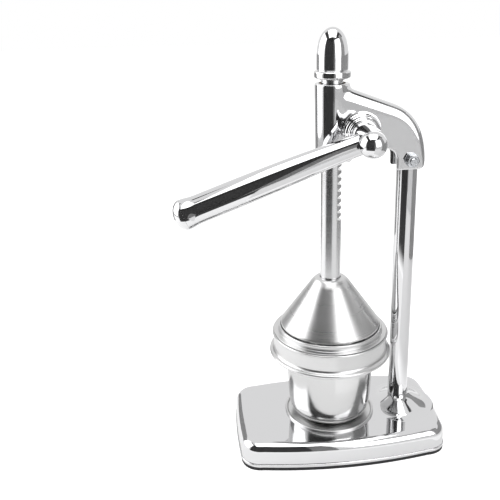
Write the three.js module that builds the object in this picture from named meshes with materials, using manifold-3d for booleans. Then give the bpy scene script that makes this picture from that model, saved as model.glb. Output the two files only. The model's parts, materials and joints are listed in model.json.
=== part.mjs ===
// A lever press for halved citrus fruit, in millimetres, +Z up.
// The ram stands on the Z axis, the post is behind it at +Y, the lever reaches forward to -Y on the +X side.
// The origin is on the table, under the ram. The press is closed, as it stands when not in use.
import * as THREE from "three";
import { mergeVertices } from "three/addons/utils/BufferGeometryUtils.js";
import Module from "manifold-3d";

const wasm = await Module();
wasm.setup();

// Clearances and facets
const running_gap = 0.3; // between round pieces that seat or turn in each other
const overrun = 2; // how far a cutter passes the face that it cuts
const weld_distance = 0.001;
const large_sides = 32;
const middle_sides = 24;
const small_sides = 14;
const hex_sides = 6;

// Base: a hollow casting with bowed long sides on a rubber sole
const sole_height = 4.2;
const sole_inset = 0.3;
const base_height = 24.4;
const base_half_width = 52.8; // at the widest place, to where the shoulder starts
const base_front_half_width = 47;
const base_rear_half_width = 45.2;
const base_front = 80.2;
const base_rear = 93.9;
const base_end_bow = 1.5;
const base_corner = 14;
const base_flare = 5.9; // how far the foot of the wall stands out past the top face
const base_shoulder = 5.2;
const base_lip_height = 2;
const base_groove = 0.6;
const base_wall = 3.4;
const corner_points = 3;
const side_points = 6;

// Swell and socket round the post
const swell_radius = 26;
const swell_top = 37;
const swell_points = 4;
const socket_boss_radius = 15;
const socket_floor_height = 13.6;
const socket_floor = 4;

// Post and the screw under it
const post_offset = 65.3; // from the ram's axis
const post_radius = 9;
const post_chamfer = 1;
const screw_radius = 4;
const screw_reach = 20; // into the post
const screw_head_radius = 6.5;
const screw_head_height = 7;
const screw_key_radius = 3.4;
const screw_key_depth = 4;
const washer_radius = 8;
const washer_height = 1.6;

// Seat of the cup in the top of the base
const seat_radius = 41;
const seat_depth = 1.2; // how far the dish is let into the base
const seat_floor = 1.6;
const seat_lip_height = 3.1;
const seat_lip_width = 2;

// Juice cup
const cup_height = 61.4;
const cup_radius = 39.6;
const cup_wall = 1;
const cup_outline_shares = [
  [0, 0],
  [0.62, 0],
  [0.72, 0.014],
  [0.82, 0.05],
  [0.895, 0.115],
  [0.935, 0.2],
  [0.955, 0.34],
  [0.977, 0.6],
  [1, 1],
];

// Bowl: a band with a bead at the top and a wide lip at the foot, on the cup's rim
const bowl_wall = 1;
const bowl_band_radius = 50.8;
const bowl_lip_radius = 54.6;
const bowl_lip_height = 3.4;
const bowl_height = 20.4; // from the lip's underside to the top of the bead
const bowl_bead_radius = 1.2;
const bowl_floor_rise = 4;
const bowl_hole_radius = 28;
const bowl_funnel_drop = 7;
const bowl_spigot_depth = 5.5;
const bead_points = 4;

// Strainer: a fluted reamer in a pierced dish that hangs on the bowl's bead
const strainer_wall = 1;
const strainer_depth = 9.8; // from the hanging flange down to the floor
const strainer_rim_rise = 5.9; // from the hanging flange up to the top of the rim
const strainer_rim_radius = 46.4;
const strainer_rim_width = 2.2;
const strainer_floor_radius = 42;
const reamer_radius = 33;
const reamer_height = 32;
const reamer_tip_radius = 2;
const reamer_curve = 1.45; // exponent of the reamer's bulge
const reamer_rings = 4;
const flute_count = 12;
const flute_depth = 2.6;
const flute_steps = 4;
const hole_count = 16;
const hole_radius = 1.7;
const hole_sides = 6;

// Ram: a round rack with a knob on top
const ram_radius = 9;
const knob_gap = 5.2; // from the guide's top up to the knob
const knob_collar_radius = 15;
const knob_collar_height = 4;
const knob_collar_round = 1;
const knob_neck_radius = 12.6;
const knob_neck_height = 0.8;
const knob_radius = 13.1;
const knob_length = 36.2;
const knob_straight_share = 0.28;
const knob_curve = 2.4; // exponent of the bullet's outline
const knob_rings = 7;
const knob_stud_radius = 4;
const knob_stud_length = 14;

// Press head on the ram
const cone_foot_gap = 8.6; // from the strainer's flange up to the cone's foot
const cone_foot_radius = 44;
const cone_rise = 39.4; // from the foot to the shoulder
const cone_shoulder_radius = 15.6;
const cone_top_rise = 3.2;
const cone_wall = 1.2;
const cone_hem = 0.7;
const press_hub_drop = 2.6; // below the cone's shoulder
const press_hub_length = 13.2;
const press_rim_drop = 3.2; // how far the cup's rim stands below the cone's foot
const press_rim_width = 3.4;
const press_stud_radius = 5;
const press_washer_radius = 9.5;
const press_washer_height = 1.3;
const press_nut_width = 17; // across the flats
const press_nut_height = 5;
const press_stud_end = 0.8; // past the nut
const press_inner_shares = [
  [0.97, 0.04],
  [0.86, 0.33],
  [0.67, 0.63],
  [0.43, 0.88],
  [0.29, 1],
];

// Rack and pinion
const gear_module = 2;
const pinion_teeth = 16;
const pinion_half_width = 8.6;
const pressure_angle = (20 * Math.PI) / 180;
const tooth_backlash = 0.36;
const rack_pitch_line = 6.5; // from the ram's axis
const rack_addendum = 1.6;
const rack_dedendum = 2.5;
const rack_teeth_below = 12;
const rack_teeth_above = 2;
const flank_points = 3;
const shaft_radius = 6;
const shaft_far_end = 20.6;
const key_width = 3.4;
const key_inner_radius = 3.9;
const key_outer_radius = 8.2;

// Head casting: guide tube, arch of two walls, pinion bosses and post socket
// Its heights are counted from its foot
const head_foot_height = 255.2;
const head_half_width = 12;
const head_cavity_half_width = 9.3;
const head_edge_round = 7;
const head_edge_steps = 3;
const guide_bottom_rise = 6.8;
const guide_top_rise = 70.8;
const shaft_rise = 33.8;
const bolt_rise = 8.6;
const post_reach = 15.8;
const guide_top_radius = 14.2;
const guide_bottom_radius = 13.4;
const guide_chamfer = 1.4;
const guide_bore_gap = 0.7;
const arch_front_rise = 69.4;
const arch_bend = 53; // where the straight slope turns down
const arch_bend_rise = 52.8;
const arch_back = 77.5;
const arch_back_rise = 14.8;
const arch_bulge = 74;
const arch_bulge_rise = 43.8;
const head_foot_corner = 3;
const head_front_edge = 53.3; // front edge of the walls beside the post
const arch_under = 45;
const arch_under_rise = 18.8;
const head_roof = 4.6;
const cavity_front = 3.5;
const cavity_back = 43;
const cavity_foot_rise = 16.6;
const curve_points = 6;
const near_boss_radius = 15.8;
const near_boss_reach = 17.2;
const near_boss_step_radius = 12.8;
const near_boss_step_reach = 20.3;
const boss_round = 1.2;
const far_boss_radius = 13.2;
const far_boss_reach = 16.5;

// Bushes
const guide_bush_wall = 1.5;
const upper_bush_length = 13.6;
const upper_bush_drop = 0.4; // below the top of the guide
const lower_bush_length = 9;
const lower_bush_rise = 0.4;
const shaft_bush_radius = 8.8;

// Through-bolt of the head
const bolt_radius = 3;
const bolt_across_flats = 10;
const bolt_head_height = 4;
const bolt_nut_height = 5;
const bolt_washer_radius = 6;
const bolt_washer_height = 1;
const bolt_end = 1.6;
const bolt_end_chamfer = 0.6;

// Lever
const lever_tilt = (20.2 * Math.PI) / 180; // below level, pointing forward
const hub_radius = 9;
const hub_ball_radius = 9.6;
const hub_ball_place = 56; // the ball's centre, from the middle plane
const hub_bore_end = 53;
const bar_place = 40; // the bar's centre line, from the middle plane
const bar_start = 2;
const bar_root = 9;
const bar_root_radius = 8.4;
const bar_length = 156;
const bar_end_radius = 11.4;
const bar_rim_radius = 12.6;
const bar_flare_length = 7;
const flare_shares = [
  [0, 0],
  [0.4, 0.12],
  [0.75, 0.45],
  [1, 1],
];
const cap_dome = 8.4;
const cap_points = 4;
const cap_spigot_radius = 6;
const cap_spigot_length = 6;
const set_screw_radius = 3;
const set_screw_inset = 0.4;
const set_screw_key_radius = 1.7;
const set_screw_key_depth = 1.5;
const ring_thickness = 1.1;
const ring_radius = 8.6;
const ring_groove_radius = 5.2;
const ring_mouth = 5;
const shaft_washer_radius = 10;
const shaft_washer_height = 1;

// Heights of the head's parts
const inHead = (rise) => head_foot_height + rise;
const guide_bottom = inHead(guide_bottom_rise);
const guide_top = inHead(guide_top_rise);
const shaft_height = inHead(shaft_rise);
const bolt_height = inHead(bolt_rise);
const post_top = inHead(post_reach);
const knob_seat_height = guide_top + knob_gap;

// Finishes
const finish = (color, roughness, metalness) =>
  new THREE.MeshStandardMaterial({ color, roughness, metalness });
const mirror_chrome = finish(0xdcdee0, 0.06, 1);
const satin_steel = finish(0xb8babd, 0.32, 1);
const cast_aluminium = finish(0xa9abad, 0.45, 1);
const zinc_steel = finish(0xa4a6a8, 0.3, 1);
const bronze = finish(0xa8834c, 0.4, 1);
const black_rubber = finish(0x1b1b1c, 0.85, 0);

// Closed mesh to solid and back
function solidOf(geometry) {
  const bare = geometry.clone();
  bare.deleteAttribute("normal");
  bare.deleteAttribute("uv");
  const merged = mergeVertices(bare, weld_distance);
  const corners = merged.index.array;
  const kept = [];
  for (let i = 0; i < corners.length; i += 3) {
    const [a, b, c] = [corners[i], corners[i + 1], corners[i + 2]];
    if (a !== b && b !== c && c !== a) kept.push(a, b, c);
  }
  return new wasm.Manifold(
    new wasm.Mesh({
      numProp: 3,
      vertProperties: merged.attributes.position.array,
      triVerts: new Uint32Array(kept),
    }),
  );
}

function geometryOf(solid) {
  const mesh = solid.getMesh();
  const geometry = new THREE.BufferGeometry();
  geometry.setAttribute("position", new THREE.BufferAttribute(mesh.vertProperties, 3));
  geometry.setIndex(new THREE.BufferAttribute(mesh.triVerts, 1));
  const faceted = geometry.toNonIndexed();
  faceted.computeVertexNormals();
  return faceted;
}

const joined = (first, ...rest) => rest.reduce((whole, part) => whole.add(part), first);
const cut = (first, ...tools) => tools.reduce((whole, tool) => whole.subtract(tool), first);

// Outlines
const area = (points) =>
  points.reduce((sum, [x, y], i) => {
    const [nextX, nextY] = points[(i + 1) % points.length];
    return sum + x * nextY - nextX * y;
  }, 0);

function arc(centreX, centreY, radius, from, to, steps) {
  return Array.from({ length: steps + 1 }, (_, i) => {
    const angle = from + ((to - from) * i) / steps;
    return [centreX + radius * Math.cos(angle), centreY + radius * Math.sin(angle)];
  });
}

// The far side of a sheet of even thickness, for a line of [radius, height] points
function sheet(line, thickness) {
  const inner = line.map(([x, y], i) => {
    const [backX, backY] = line[Math.max(i - 1, 0)];
    const [nextX, nextY] = line[Math.min(i + 1, line.length - 1)];
    const along = new THREE.Vector2(nextX - backX, nextY - backY).normalize();
    return [x === 0 ? 0 : x - along.y * thickness, y + along.x * thickness];
  });
  return [...line, ...inner.reverse()];
}

// A solid of revolution about Z from [radius, height] points
function turned(points, sides) {
  const ring = area(points) < 0 ? [...points].reverse() : [...points];
  const onAxis = ring.findIndex(([r], i) => r === 0 && ring[(i + ring.length - 1) % ring.length][0] === 0);
  const start = Math.max(onAxis, 0);
  const profile = [...ring.slice(start), ...ring.slice(0, start)];
  if (onAxis < 0) profile.push(profile[0]);
  const geometry = new THREE.LatheGeometry(
    profile.map(([r, z]) => new THREE.Vector2(r, z)),
    sides,
  );
  return solidOf(geometry.rotateX(Math.PI / 2));
}

// The same about X, from [radius, place along X] points
const turnedAlongX = (points, sides) =>
  solidOf(geometryOf(turned(points, sides)).rotateY(Math.PI / 2));

const barrel = (radius, from, to) => [
  [0, from],
  [radius, from],
  [radius, to],
  [0, to],
];
const tube = (inner, outer, from, to) => [
  [inner, from],
  [outer, from],
  [outer, to],
  [inner, to],
];

// A plate of even thickness from [y, z] points or a shape, centred on the plane X = 0
const toYZ = new THREE.Matrix4().set(0, 0, 1, 0, 1, 0, 0, 0, 0, 1, 0, 0, 0, 0, 0, 1);
function plate(outline, halfWidth, edge = 0) {
  const shape = new THREE.Shape(outline.map(([y, z]) => new THREE.Vector2(y, z)));
  const geometry = new THREE.ExtrudeGeometry(shape, {
    depth: 2 * (halfWidth - edge),
    steps: 1,
    bevelEnabled: edge > 0,
    bevelSize: edge,
    bevelOffset: -edge,
    bevelThickness: edge,
    bevelSegments: head_edge_steps,
  });
  return solidOf(geometry.translate(0, 0, edge - halfWidth).applyMatrix4(toYZ));
}

const box = (minimum, maximum) => {
  const size = new THREE.Vector3().subVectors(maximum, minimum);
  const middle = new THREE.Vector3().addVectors(maximum, minimum).multiplyScalar(1 / 2);
  const geometry = new THREE.BoxGeometry(size.x, size.y, size.z);
  return solidOf(geometry.translate(middle.x, middle.y, middle.z));
};

// A closed skin over rings that all have the same number of points
function lofted(rings) {
  const count = rings[0].length;
  const positions = rings.flat().flatMap((point) => [point.x, point.y, point.z]);
  const faces = [];
  for (let level = 0; level < rings.length - 1; level += 1) {
    for (let i = 0; i < count; i += 1) {
      const low = level * count + i;
      const lowNext = level * count + ((i + 1) % count);
      faces.push(low, lowNext, lowNext + count, low, lowNext + count, low + count);
    }
  }
  const flat = (ring) => ring.map((point) => new THREE.Vector2(point.x, point.y));
  const top = (rings.length - 1) * count;
  for (const [a, b, c] of THREE.ShapeUtils.triangulateShape(flat(rings[0]), [])) {
    faces.push(a, c, b);
  }
  for (const [a, b, c] of THREE.ShapeUtils.triangulateShape(flat(rings.at(-1)), [])) {
    faces.push(top + a, top + b, top + c);
  }
  const geometry = new THREE.BufferGeometry();
  geometry.setAttribute("position", new THREE.Float32BufferAttribute(positions, 3));
  geometry.setIndex(faces);
  return solidOf(geometry);
}

const hexagonRadius = (acrossFlats) => acrossFlats / 2 / Math.cos(Math.PI / hex_sides);
const moved = (solid, x, y, z) => solidOf(geometryOf(solid).translate(x, y, z));

// Groups and pieces
const press = new THREE.Group();
const frame = new THREE.Group();
const lever = new THREE.Group();
const ram = new THREE.Group();
press.add(frame, lever, ram);
const shaft_offset = rack_pitch_line + (gear_module * pinion_teeth) / 2;
lever.position.set(0, shaft_offset, shaft_height);

function piece(group, name, solid, material) {
  const mesh = new THREE.Mesh(geometryOf(solid), material);
  mesh.name = name;
  group.add(mesh);
}

// Base plan: two bowed sides and two nearly straight ends, with round corners
function basePlan() {
  const path = new THREE.Path();
  const middle = (base_rear - base_front) / 2;
  const sideBulge = 2 * base_half_width - (base_front_half_width + base_rear_half_width) / 2;
  const reach = base_corner;
  const points = [];
  const add = (curve, steps) => points.push(...curve.getPoints(steps).slice(0, -1));
  const at = (x, y) => new THREE.Vector2(x, y);
  const front = base_front_half_width;
  const rear = base_rear_half_width;
  const curve = (a, b, c) => new THREE.QuadraticBezierCurve(a, b, c);
  add(curve(at(front - reach, -base_front), at(front, -base_front), at(front, reach - base_front)), corner_points);
  add(
    curve(at(front, reach - base_front), at(sideBulge, middle), at(rear, base_rear - reach)),
    side_points,
  );
  add(curve(at(rear, base_rear - reach), at(rear, base_rear), at(rear - reach, base_rear)), corner_points);
  add(
    curve(at(rear - reach, base_rear), at(0, base_rear + 2 * base_end_bow), at(reach - rear, base_rear)),
    corner_points,
  );
  add(curve(at(reach - rear, base_rear), at(-rear, base_rear), at(-rear, base_rear - reach)), corner_points);
  add(
    curve(at(-rear, base_rear - reach), at(-sideBulge, middle), at(-front, reach - base_front)),
    side_points,
  );
  add(curve(at(-front, reach - base_front), at(-front, -base_front), at(reach - front, -base_front)), corner_points);
  add(
    curve(at(reach - front, -base_front), at(0, -base_front - 2 * base_end_bow), at(front - reach, -base_front)),
    corner_points,
  );
  path.setFromPoints(points);
  return points;
}

const plan = basePlan();
function planRing(offset, z) {
  return plan.map((point, i) => {
    const back = plan[(i + plan.length - 1) % plan.length];
    const next = plan[(i + 1) % plan.length];
    const along = new THREE.Vector2().subVectors(next, back).normalize();
    return new THREE.Vector3(point.x + along.y * offset, point.y - along.x * offset, z);
  });
}

const socket_bottom = socket_floor_height + socket_floor;
const seat_bottom = base_height - seat_depth;

function baseCasting() {
  const lipTop = sole_height + base_lip_height;
  const wallTop = base_height - base_shoulder;
  const shoulder = arc(0, wallTop, base_shoulder, 0, Math.PI / 2, corner_points);
  const outer = lofted([
    planRing(base_flare - base_groove, sole_height),
    planRing(base_flare, sole_height + base_groove),
    planRing(base_flare, lipTop),
    planRing(base_flare - base_groove, lipTop + base_groove),
    ...shoulder.map(([offset, z]) => planRing(offset, z)),
  ]);
  const roof = base_height - base_wall;
  const hollow = lofted([
    planRing(base_shoulder - base_wall, sole_height - overrun),
    planRing(base_shoulder - base_wall, wallTop),
    planRing(-base_wall, roof),
  ]);
  const swell = arc(swell_radius, swell_top, 1, Math.PI, (3 * Math.PI) / 2, swell_points).map(([x, z]) => [
    swell_radius + (x - swell_radius) * (swell_radius - post_radius - running_gap),
    swell_top + (z - swell_top) * (swell_top - base_height),
  ]);
  const collar = turned([[0, roof], [swell_radius, roof], ...swell.reverse(), [0, swell_top]], middle_sides);
  const boss = turned(barrel(socket_boss_radius, socket_floor_height, base_height), middle_sides);
  const bore = turned(barrel(post_radius + running_gap, socket_bottom, swell_top + overrun), middle_sides);
  const screwHole = turned(
    barrel(screw_radius + running_gap, socket_floor_height - overrun, socket_bottom + overrun),
    small_sides,
  );
  const recess = turned(
    barrel(seat_radius + running_gap, seat_bottom, base_height + overrun),
    large_sides,
  );
  const behind = (solid) => moved(solid, 0, post_offset, 0);
  return cut(
    joined(cut(outer, hollow), behind(collar), behind(boss)),
    behind(bore),
    behind(screwHole),
    recess,
  );
}
piece(frame, "base_casting", baseCasting(), mirror_chrome);

const soleOffset = base_flare - sole_inset;
piece(frame, "base_sole", lofted([planRing(soleOffset, 0), planRing(soleOffset, sole_height)]), black_rubber);

// Cup seat: a shallow dish with a rolled lip
const seatTop = seat_bottom + seat_lip_height;
const seatInner = seat_radius - seat_lip_width;
const cup_bottom = seat_bottom + seat_floor;
piece(
  frame,
  "cup_seat",
  turned(
    [
      [0, seat_bottom],
      [seat_radius, seat_bottom],
      [seat_radius, seatTop - seat_lip_width / 3],
      [seat_radius - seat_lip_width / 3, seatTop],
      [seatInner + seat_lip_width / 3, seatTop],
      [seatInner, seatTop - seat_lip_width / 3],
      [seatInner - seat_lip_width / 3, cup_bottom],
      [0, cup_bottom],
    ],
    large_sides,
  ),
  satin_steel,
);

// Post, with a tapped hole in its foot and a cross hole for the head's bolt
function post() {
  const bar = turned(
    [
      [0, socket_bottom],
      [post_radius - post_chamfer, socket_bottom],
      [post_radius, socket_bottom + post_chamfer],
      [post_radius, post_top - post_chamfer],
      [post_radius - post_chamfer, post_top],
      [0, post_top],
    ],
    middle_sides,
  );
  const tapped = turned(
    barrel(screw_radius + running_gap, socket_bottom - overrun, socket_bottom + screw_reach + overrun),
    small_sides,
  );
  const across = turnedAlongX(
    barrel(bolt_radius + running_gap, -post_radius - overrun, post_radius + overrun),
    small_sides,
  );
  return moved(cut(bar, tapped, moved(across, 0, 0, bolt_height)), 0, post_offset, 0);
}
piece(frame, "post", post(), mirror_chrome);

const under_post = socket_floor_height - washer_height;
piece(
  frame,
  "post_washer",
  moved(
    turned(tube(screw_radius + running_gap, washer_radius, under_post, socket_floor_height), small_sides),
    0,
    post_offset,
    0,
  ),
  zinc_steel,
);
function postScrew() {
  const head_bottom = under_post - screw_head_height;
  const screw = turned(
    [
      [0, head_bottom],
      [screw_head_radius, head_bottom],
      [screw_head_radius, under_post],
      [screw_radius, under_post],
      [screw_radius, socket_bottom + screw_reach],
      [0, socket_bottom + screw_reach],
    ],
    small_sides,
  );
  const key = turned(barrel(screw_key_radius, head_bottom - overrun, head_bottom + screw_key_depth), hex_sides);
  return moved(cut(screw, key), 0, post_offset, 0);
}
piece(frame, "post_screw", postScrew(), zinc_steel);

// Head casting
function headCasting() {
  const arch = new THREE.QuadraticBezierCurve(
    new THREE.Vector2(arch_bend, inHead(arch_bend_rise)),
    new THREE.Vector2(arch_bulge, inHead(arch_bulge_rise)),
    new THREE.Vector2(arch_back, inHead(arch_back_rise)),
  )
    .getPoints(curve_points)
    .map((point) => [point.x, point.y]);
  const below = head_foot_height - 2 * head_edge_round;
  const rounded = plate(
    [[0, below], [0, inHead(arch_front_rise)], [ram_radius, inHead(arch_front_rise)], ...arch, [arch_back, below]],
    head_half_width,
    head_edge_round,
  );
  // The walls' lower edge, from the guide under the pinion to the post
  const under = new THREE.QuadraticBezierCurve(
    new THREE.Vector2(arch_under, inHead(arch_under_rise)),
    new THREE.Vector2(head_front_edge, inHead(arch_under_rise - head_foot_corner)),
    new THREE.Vector2(head_front_edge, bolt_height),
  )
    .getPoints(corner_points)
    .map((point) => [point.x, point.y]);
  const backCorner = arc(
    arch_back - head_foot_corner,
    head_foot_height + head_foot_corner,
    head_foot_corner,
    -Math.PI / 2,
    0,
    corner_points,
  );
  const edgeShape = plate(
    [
      [-overrun, guide_bottom + overrun],
      [guide_bottom_radius, guide_bottom + overrun],
      [shaft_offset, shaft_height - near_boss_radius],
      ...under,
      [head_front_edge, head_foot_height + head_foot_corner / 3],
      [head_front_edge + head_foot_corner / 3, head_foot_height],
      ...backCorner,
      [arch_back, guide_top + overrun],
      [-overrun, guide_top + overrun],
    ],
    head_half_width + overrun,
  );
  const guide = turned(
    [
      [0, guide_bottom],
      [guide_bottom_radius - guide_chamfer / 2, guide_bottom],
      [guide_bottom_radius, guide_bottom + guide_chamfer / 2],
      [guide_top_radius, guide_top - guide_chamfer],
      [guide_top_radius - guide_chamfer, guide_top],
      [0, guide_top],
    ],
    middle_sides,
  );
  const nearBoss = turnedAlongX(
    [
      [0, 0],
      [near_boss_radius, 0],
      [near_boss_radius, near_boss_reach - boss_round],
      [near_boss_radius - boss_round, near_boss_reach],
      [near_boss_step_radius, near_boss_reach],
      [near_boss_step_radius, near_boss_step_reach - boss_round],
      [near_boss_step_radius - boss_round, near_boss_step_reach],
      [0, near_boss_step_reach],
    ],
    middle_sides,
  );
  const farBoss = turnedAlongX(barrel(far_boss_radius, -far_boss_reach, 0), middle_sides);
  const atShaft = (solid) => moved(solid, 0, shaft_offset, shaft_height);

  // The hollow that holds the pinion follows the arch from inside and is open below
  const inside = arch
    .filter(([y]) => y < cavity_back + arch_under - cavity_back)
    .map(([y, z]) => [y, z - head_roof]);
  const slope = (arch_front_rise - arch_bend_rise) / (arch_bend - ram_radius);
  const roofAt = (y) => inHead(arch_front_rise - slope * (y - ram_radius) - head_roof);
  const cavity = plate(
    [
      [cavity_front, inHead(cavity_foot_rise)],
      [guide_bottom_radius + boss_round, inHead(cavity_foot_rise)],
      [guide_bottom_radius + boss_round, head_foot_height],
      [cavity_back, head_foot_height],
      ...inside,
      [cavity_back, roofAt(cavity_back)],
      [shaft_offset, roofAt(shaft_offset)],
      [cavity_front, roofAt(shaft_offset)],
    ],
    head_cavity_half_width,
  );
  const ramBore = turned(
    barrel(ram_radius + guide_bore_gap, guide_bottom - overrun, guide_top + overrun),
    middle_sides,
  );
  const bushOuter = ram_radius + running_gap + guide_bush_wall + running_gap;
  const upperSeat = turned(
    barrel(bushOuter, guide_top - upper_bush_drop - upper_bush_length, guide_top + overrun),
    middle_sides,
  );
  const lowerSeat = turned(
    barrel(bushOuter, guide_bottom - overrun, guide_bottom + lower_bush_rise + lower_bush_length),
    middle_sides,
  );
  const shaftBore = turnedAlongX(
    barrel(shaft_bush_radius + running_gap, -far_boss_reach - overrun, near_boss_step_reach + overrun),
    middle_sides,
  );
  const boltHole = turnedAlongX(
    barrel(bolt_radius + running_gap, -head_half_width - overrun, head_half_width + overrun),
    small_sides,
  );
  const socketTop = post_top + running_gap;
  const socket = turned(
    barrel(head_cavity_half_width, head_foot_height - overrun, socketTop),
    middle_sides,
  );
  const mouth = box(
    new THREE.Vector3(-head_cavity_half_width, arch_under, head_foot_height - overrun),
    new THREE.Vector3(head_cavity_half_width, post_offset, socketTop),
  );
  return cut(
    joined(rounded.intersect(edgeShape), guide, atShaft(nearBoss), atShaft(farBoss)),
    cavity,
    ramBore,
    upperSeat,
    lowerSeat,
    atShaft(shaftBore),
    moved(boltHole, 0, post_offset, bolt_height),
    moved(socket, 0, post_offset, 0),
    mouth,
  );
}
piece(frame, "head_casting", headCasting(), mirror_chrome);

// Bushes
const bushInner = ram_radius + running_gap;
const upperBushTop = guide_top - upper_bush_drop;
const lowerBushBottom = guide_bottom + lower_bush_rise;
piece(
  frame,
  "guide_bush_upper",
  turned(tube(bushInner, bushInner + guide_bush_wall, upperBushTop - upper_bush_length, upperBushTop), middle_sides),
  bronze,
);
piece(
  frame,
  "guide_bush_lower",
  turned(
    tube(bushInner, bushInner + guide_bush_wall, lowerBushBottom, lowerBushBottom + lower_bush_length),
    middle_sides,
  ),
  bronze,
);
for (const [name, from, to] of [
  ["pinion_bush_near", head_cavity_half_width, near_boss_step_reach],
  ["pinion_bush_far", -far_boss_reach, -head_cavity_half_width],
]) {
  const bush = turnedAlongX(tube(shaft_radius + running_gap, shaft_bush_radius, from, to), small_sides);
  piece(frame, name, moved(bush, 0, shaft_offset, shaft_height), bronze);
}

// Through-bolt, with its head on the far side and its nut on the near side
const washerFace = head_half_width + bolt_washer_height;
const nutFace = washerFace + bolt_nut_height;
const atBolt = (solid) => moved(solid, 0, post_offset, bolt_height);
const boltHexagon = hexagonRadius(bolt_across_flats);
function headBolt() {
  const shank = turnedAlongX(
    [
      [0, -washerFace],
      [bolt_radius, -washerFace],
      [bolt_radius, nutFace + bolt_end - bolt_end_chamfer],
      [bolt_radius - bolt_end_chamfer, nutFace + bolt_end],
      [0, nutFace + bolt_end],
    ],
    small_sides,
  );
  const head = turnedAlongX(barrel(boltHexagon, -washerFace - bolt_head_height, -washerFace), hex_sides);
  return joined(shank, head);
}
piece(frame, "head_bolt", atBolt(headBolt()), zinc_steel);
for (const [name, from, to] of [
  ["head_washer_near", head_half_width, washerFace],
  ["head_washer_far", -washerFace, -head_half_width],
]) {
  const washer = turnedAlongX(tube(bolt_radius + running_gap, bolt_washer_radius, from, to), small_sides);
  piece(frame, name, atBolt(washer), zinc_steel);
}
function headNut() {
  const hexagon = turnedAlongX(barrel(boltHexagon, washerFace, nutFace), hex_sides);
  const cone = turnedAlongX(
    [
      [0, washerFace - overrun],
      [boltHexagon + overrun, washerFace - overrun],
      [boltHexagon + overrun, nutFace - overrun],
      [bolt_across_flats / 2 - bolt_end_chamfer, nutFace],
      [0, nutFace],
    ],
    small_sides,
  );
  const hole = turnedAlongX(barrel(bolt_radius + running_gap, washerFace - overrun, nutFace + overrun), small_sides);
  return cut(hexagon.intersect(cone), hole);
}
piece(frame, "head_nut", atBolt(headNut()), zinc_steel);

// Juice cup
const cup_top = cup_bottom + cup_height;
const cupLine = cup_outline_shares.map(([r, z]) => [r * cup_radius, cup_bottom + z * cup_height]);
piece(frame, "juice_cup", turned(sheet(cupLine, cup_wall), large_sides), satin_steel);

// Bowl
const bowl_bottom = cup_top + running_gap;
const bead_centre_height = bowl_bottom + bowl_height - bowl_bead_radius;
const bowl_top = bowl_bottom + bowl_height;
function bowl() {
  const band = bowl_band_radius;
  const inner = band - bowl_wall;
  const spigot = cup_radius - cup_wall - 2 * running_gap;
  const lipRound = bowl_lip_height / 3;
  const lipTop = bowl_bottom + bowl_lip_height;
  const floorEdge = bowl_bottom + bowl_floor_rise;
  const holeHeight = floorEdge - bowl_funnel_drop;
  const bead = arc(
    band,
    bead_centre_height,
    bowl_bead_radius,
    -Math.PI / 2,
    Math.PI,
    bead_points,
  );
  return turned(
    [
      [bowl_hole_radius, holeHeight - bowl_wall],
      [bowl_hole_radius, holeHeight],
      [inner - bowl_wall, floorEdge],
      [inner, floorEdge + bowl_wall],
      [inner, bead_centre_height - bowl_bead_radius],
      ...bead.reverse(),
      [band, lipTop + lipRound],
      [band + lipRound / 2, lipTop],
      [bowl_lip_radius - lipRound, lipTop - lipRound / 2],
      [bowl_lip_radius, lipTop - lipRound],
      [bowl_lip_radius, bowl_bottom + lipRound],
      [bowl_lip_radius - lipRound, bowl_bottom],
      [spigot, bowl_bottom],
      [spigot, bowl_bottom - bowl_spigot_depth],
      [spigot - bowl_wall, bowl_bottom - bowl_spigot_depth],
      [spigot - bowl_wall, bowl_bottom - bowl_wall],
    ],
    large_sides,
  );
}
piece(frame, "bowl", bowl(), satin_steel);

// Strainer
const flange_bottom = bowl_top + running_gap;
const strainer_floor_top = flange_bottom - strainer_depth + strainer_wall;
function reamerRing(share, flute, shrink) {
  const body = reamer_tip_radius + (reamer_radius - reamer_tip_radius) * (1 - share ** reamer_curve);
  const count = flute_count * flute_steps;
  const z = strainer_floor_top - shrink + share * reamer_height;
  return Array.from({ length: count }, (_, i) => {
    const wave = (1 - Math.cos((2 * Math.PI * i) / flute_steps)) / 2;
    const radius = body - shrink - flute * (1 - share) * wave;
    const angle = (2 * Math.PI * i) / count;
    return new THREE.Vector3(radius * Math.cos(angle), radius * Math.sin(angle), z);
  });
}
function reamer(flute, shrink) {
  const levels = Array.from({ length: reamer_rings + 1 }, (_, i) => i / reamer_rings);
  return lofted(levels.map((share) => reamerRing(share, flute, shrink)));
}
function strainer() {
  const rim = strainer_rim_radius;
  const rimInner = rim - strainer_rim_width;
  const rimTop = flange_bottom + strainer_rim_rise;
  const rimRound = strainer_rim_width / 3;
  const flangeTop = flange_bottom + strainer_wall;
  const floorBottom = strainer_floor_top - strainer_wall;
  const dish = turned(
    [
      [0, strainer_floor_top],
      [strainer_floor_radius, strainer_floor_top],
      [rimInner - rimRound, strainer_floor_top + 2 * rimRound],
      [rimInner, rimTop - rimRound],
      [rimInner + rimRound, rimTop],
      [rim - rimRound, rimTop],
      [rim, rimTop - rimRound],
      [rim, flangeTop],
      [bowl_band_radius, flangeTop],
      [bowl_band_radius, flange_bottom],
      [rimInner + strainer_wall, flange_bottom],
      [rimInner + strainer_wall - rimRound, strainer_floor_top],
      [strainer_floor_radius + rimRound, floorBottom],
      [0, floorBottom],
    ],
    large_sides,
  );
  const holePlace = (reamer_radius + strainer_floor_radius) / 2;
  const holes = Array.from({ length: hole_count }, (_, i) => {
    const angle = (2 * Math.PI * i) / hole_count;
    const drill = turned(
      barrel(hole_radius, floorBottom - overrun, strainer_floor_top + overrun),
      hole_sides,
    );
    return moved(drill, holePlace * Math.cos(angle), holePlace * Math.sin(angle), 0);
  });
  const hollow = reamer(flute_depth, strainer_wall);
  return cut(joined(dish, reamer(flute_depth, 0)), hollow, ...holes);
}
piece(frame, "strainer", strainer(), satin_steel);

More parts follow.
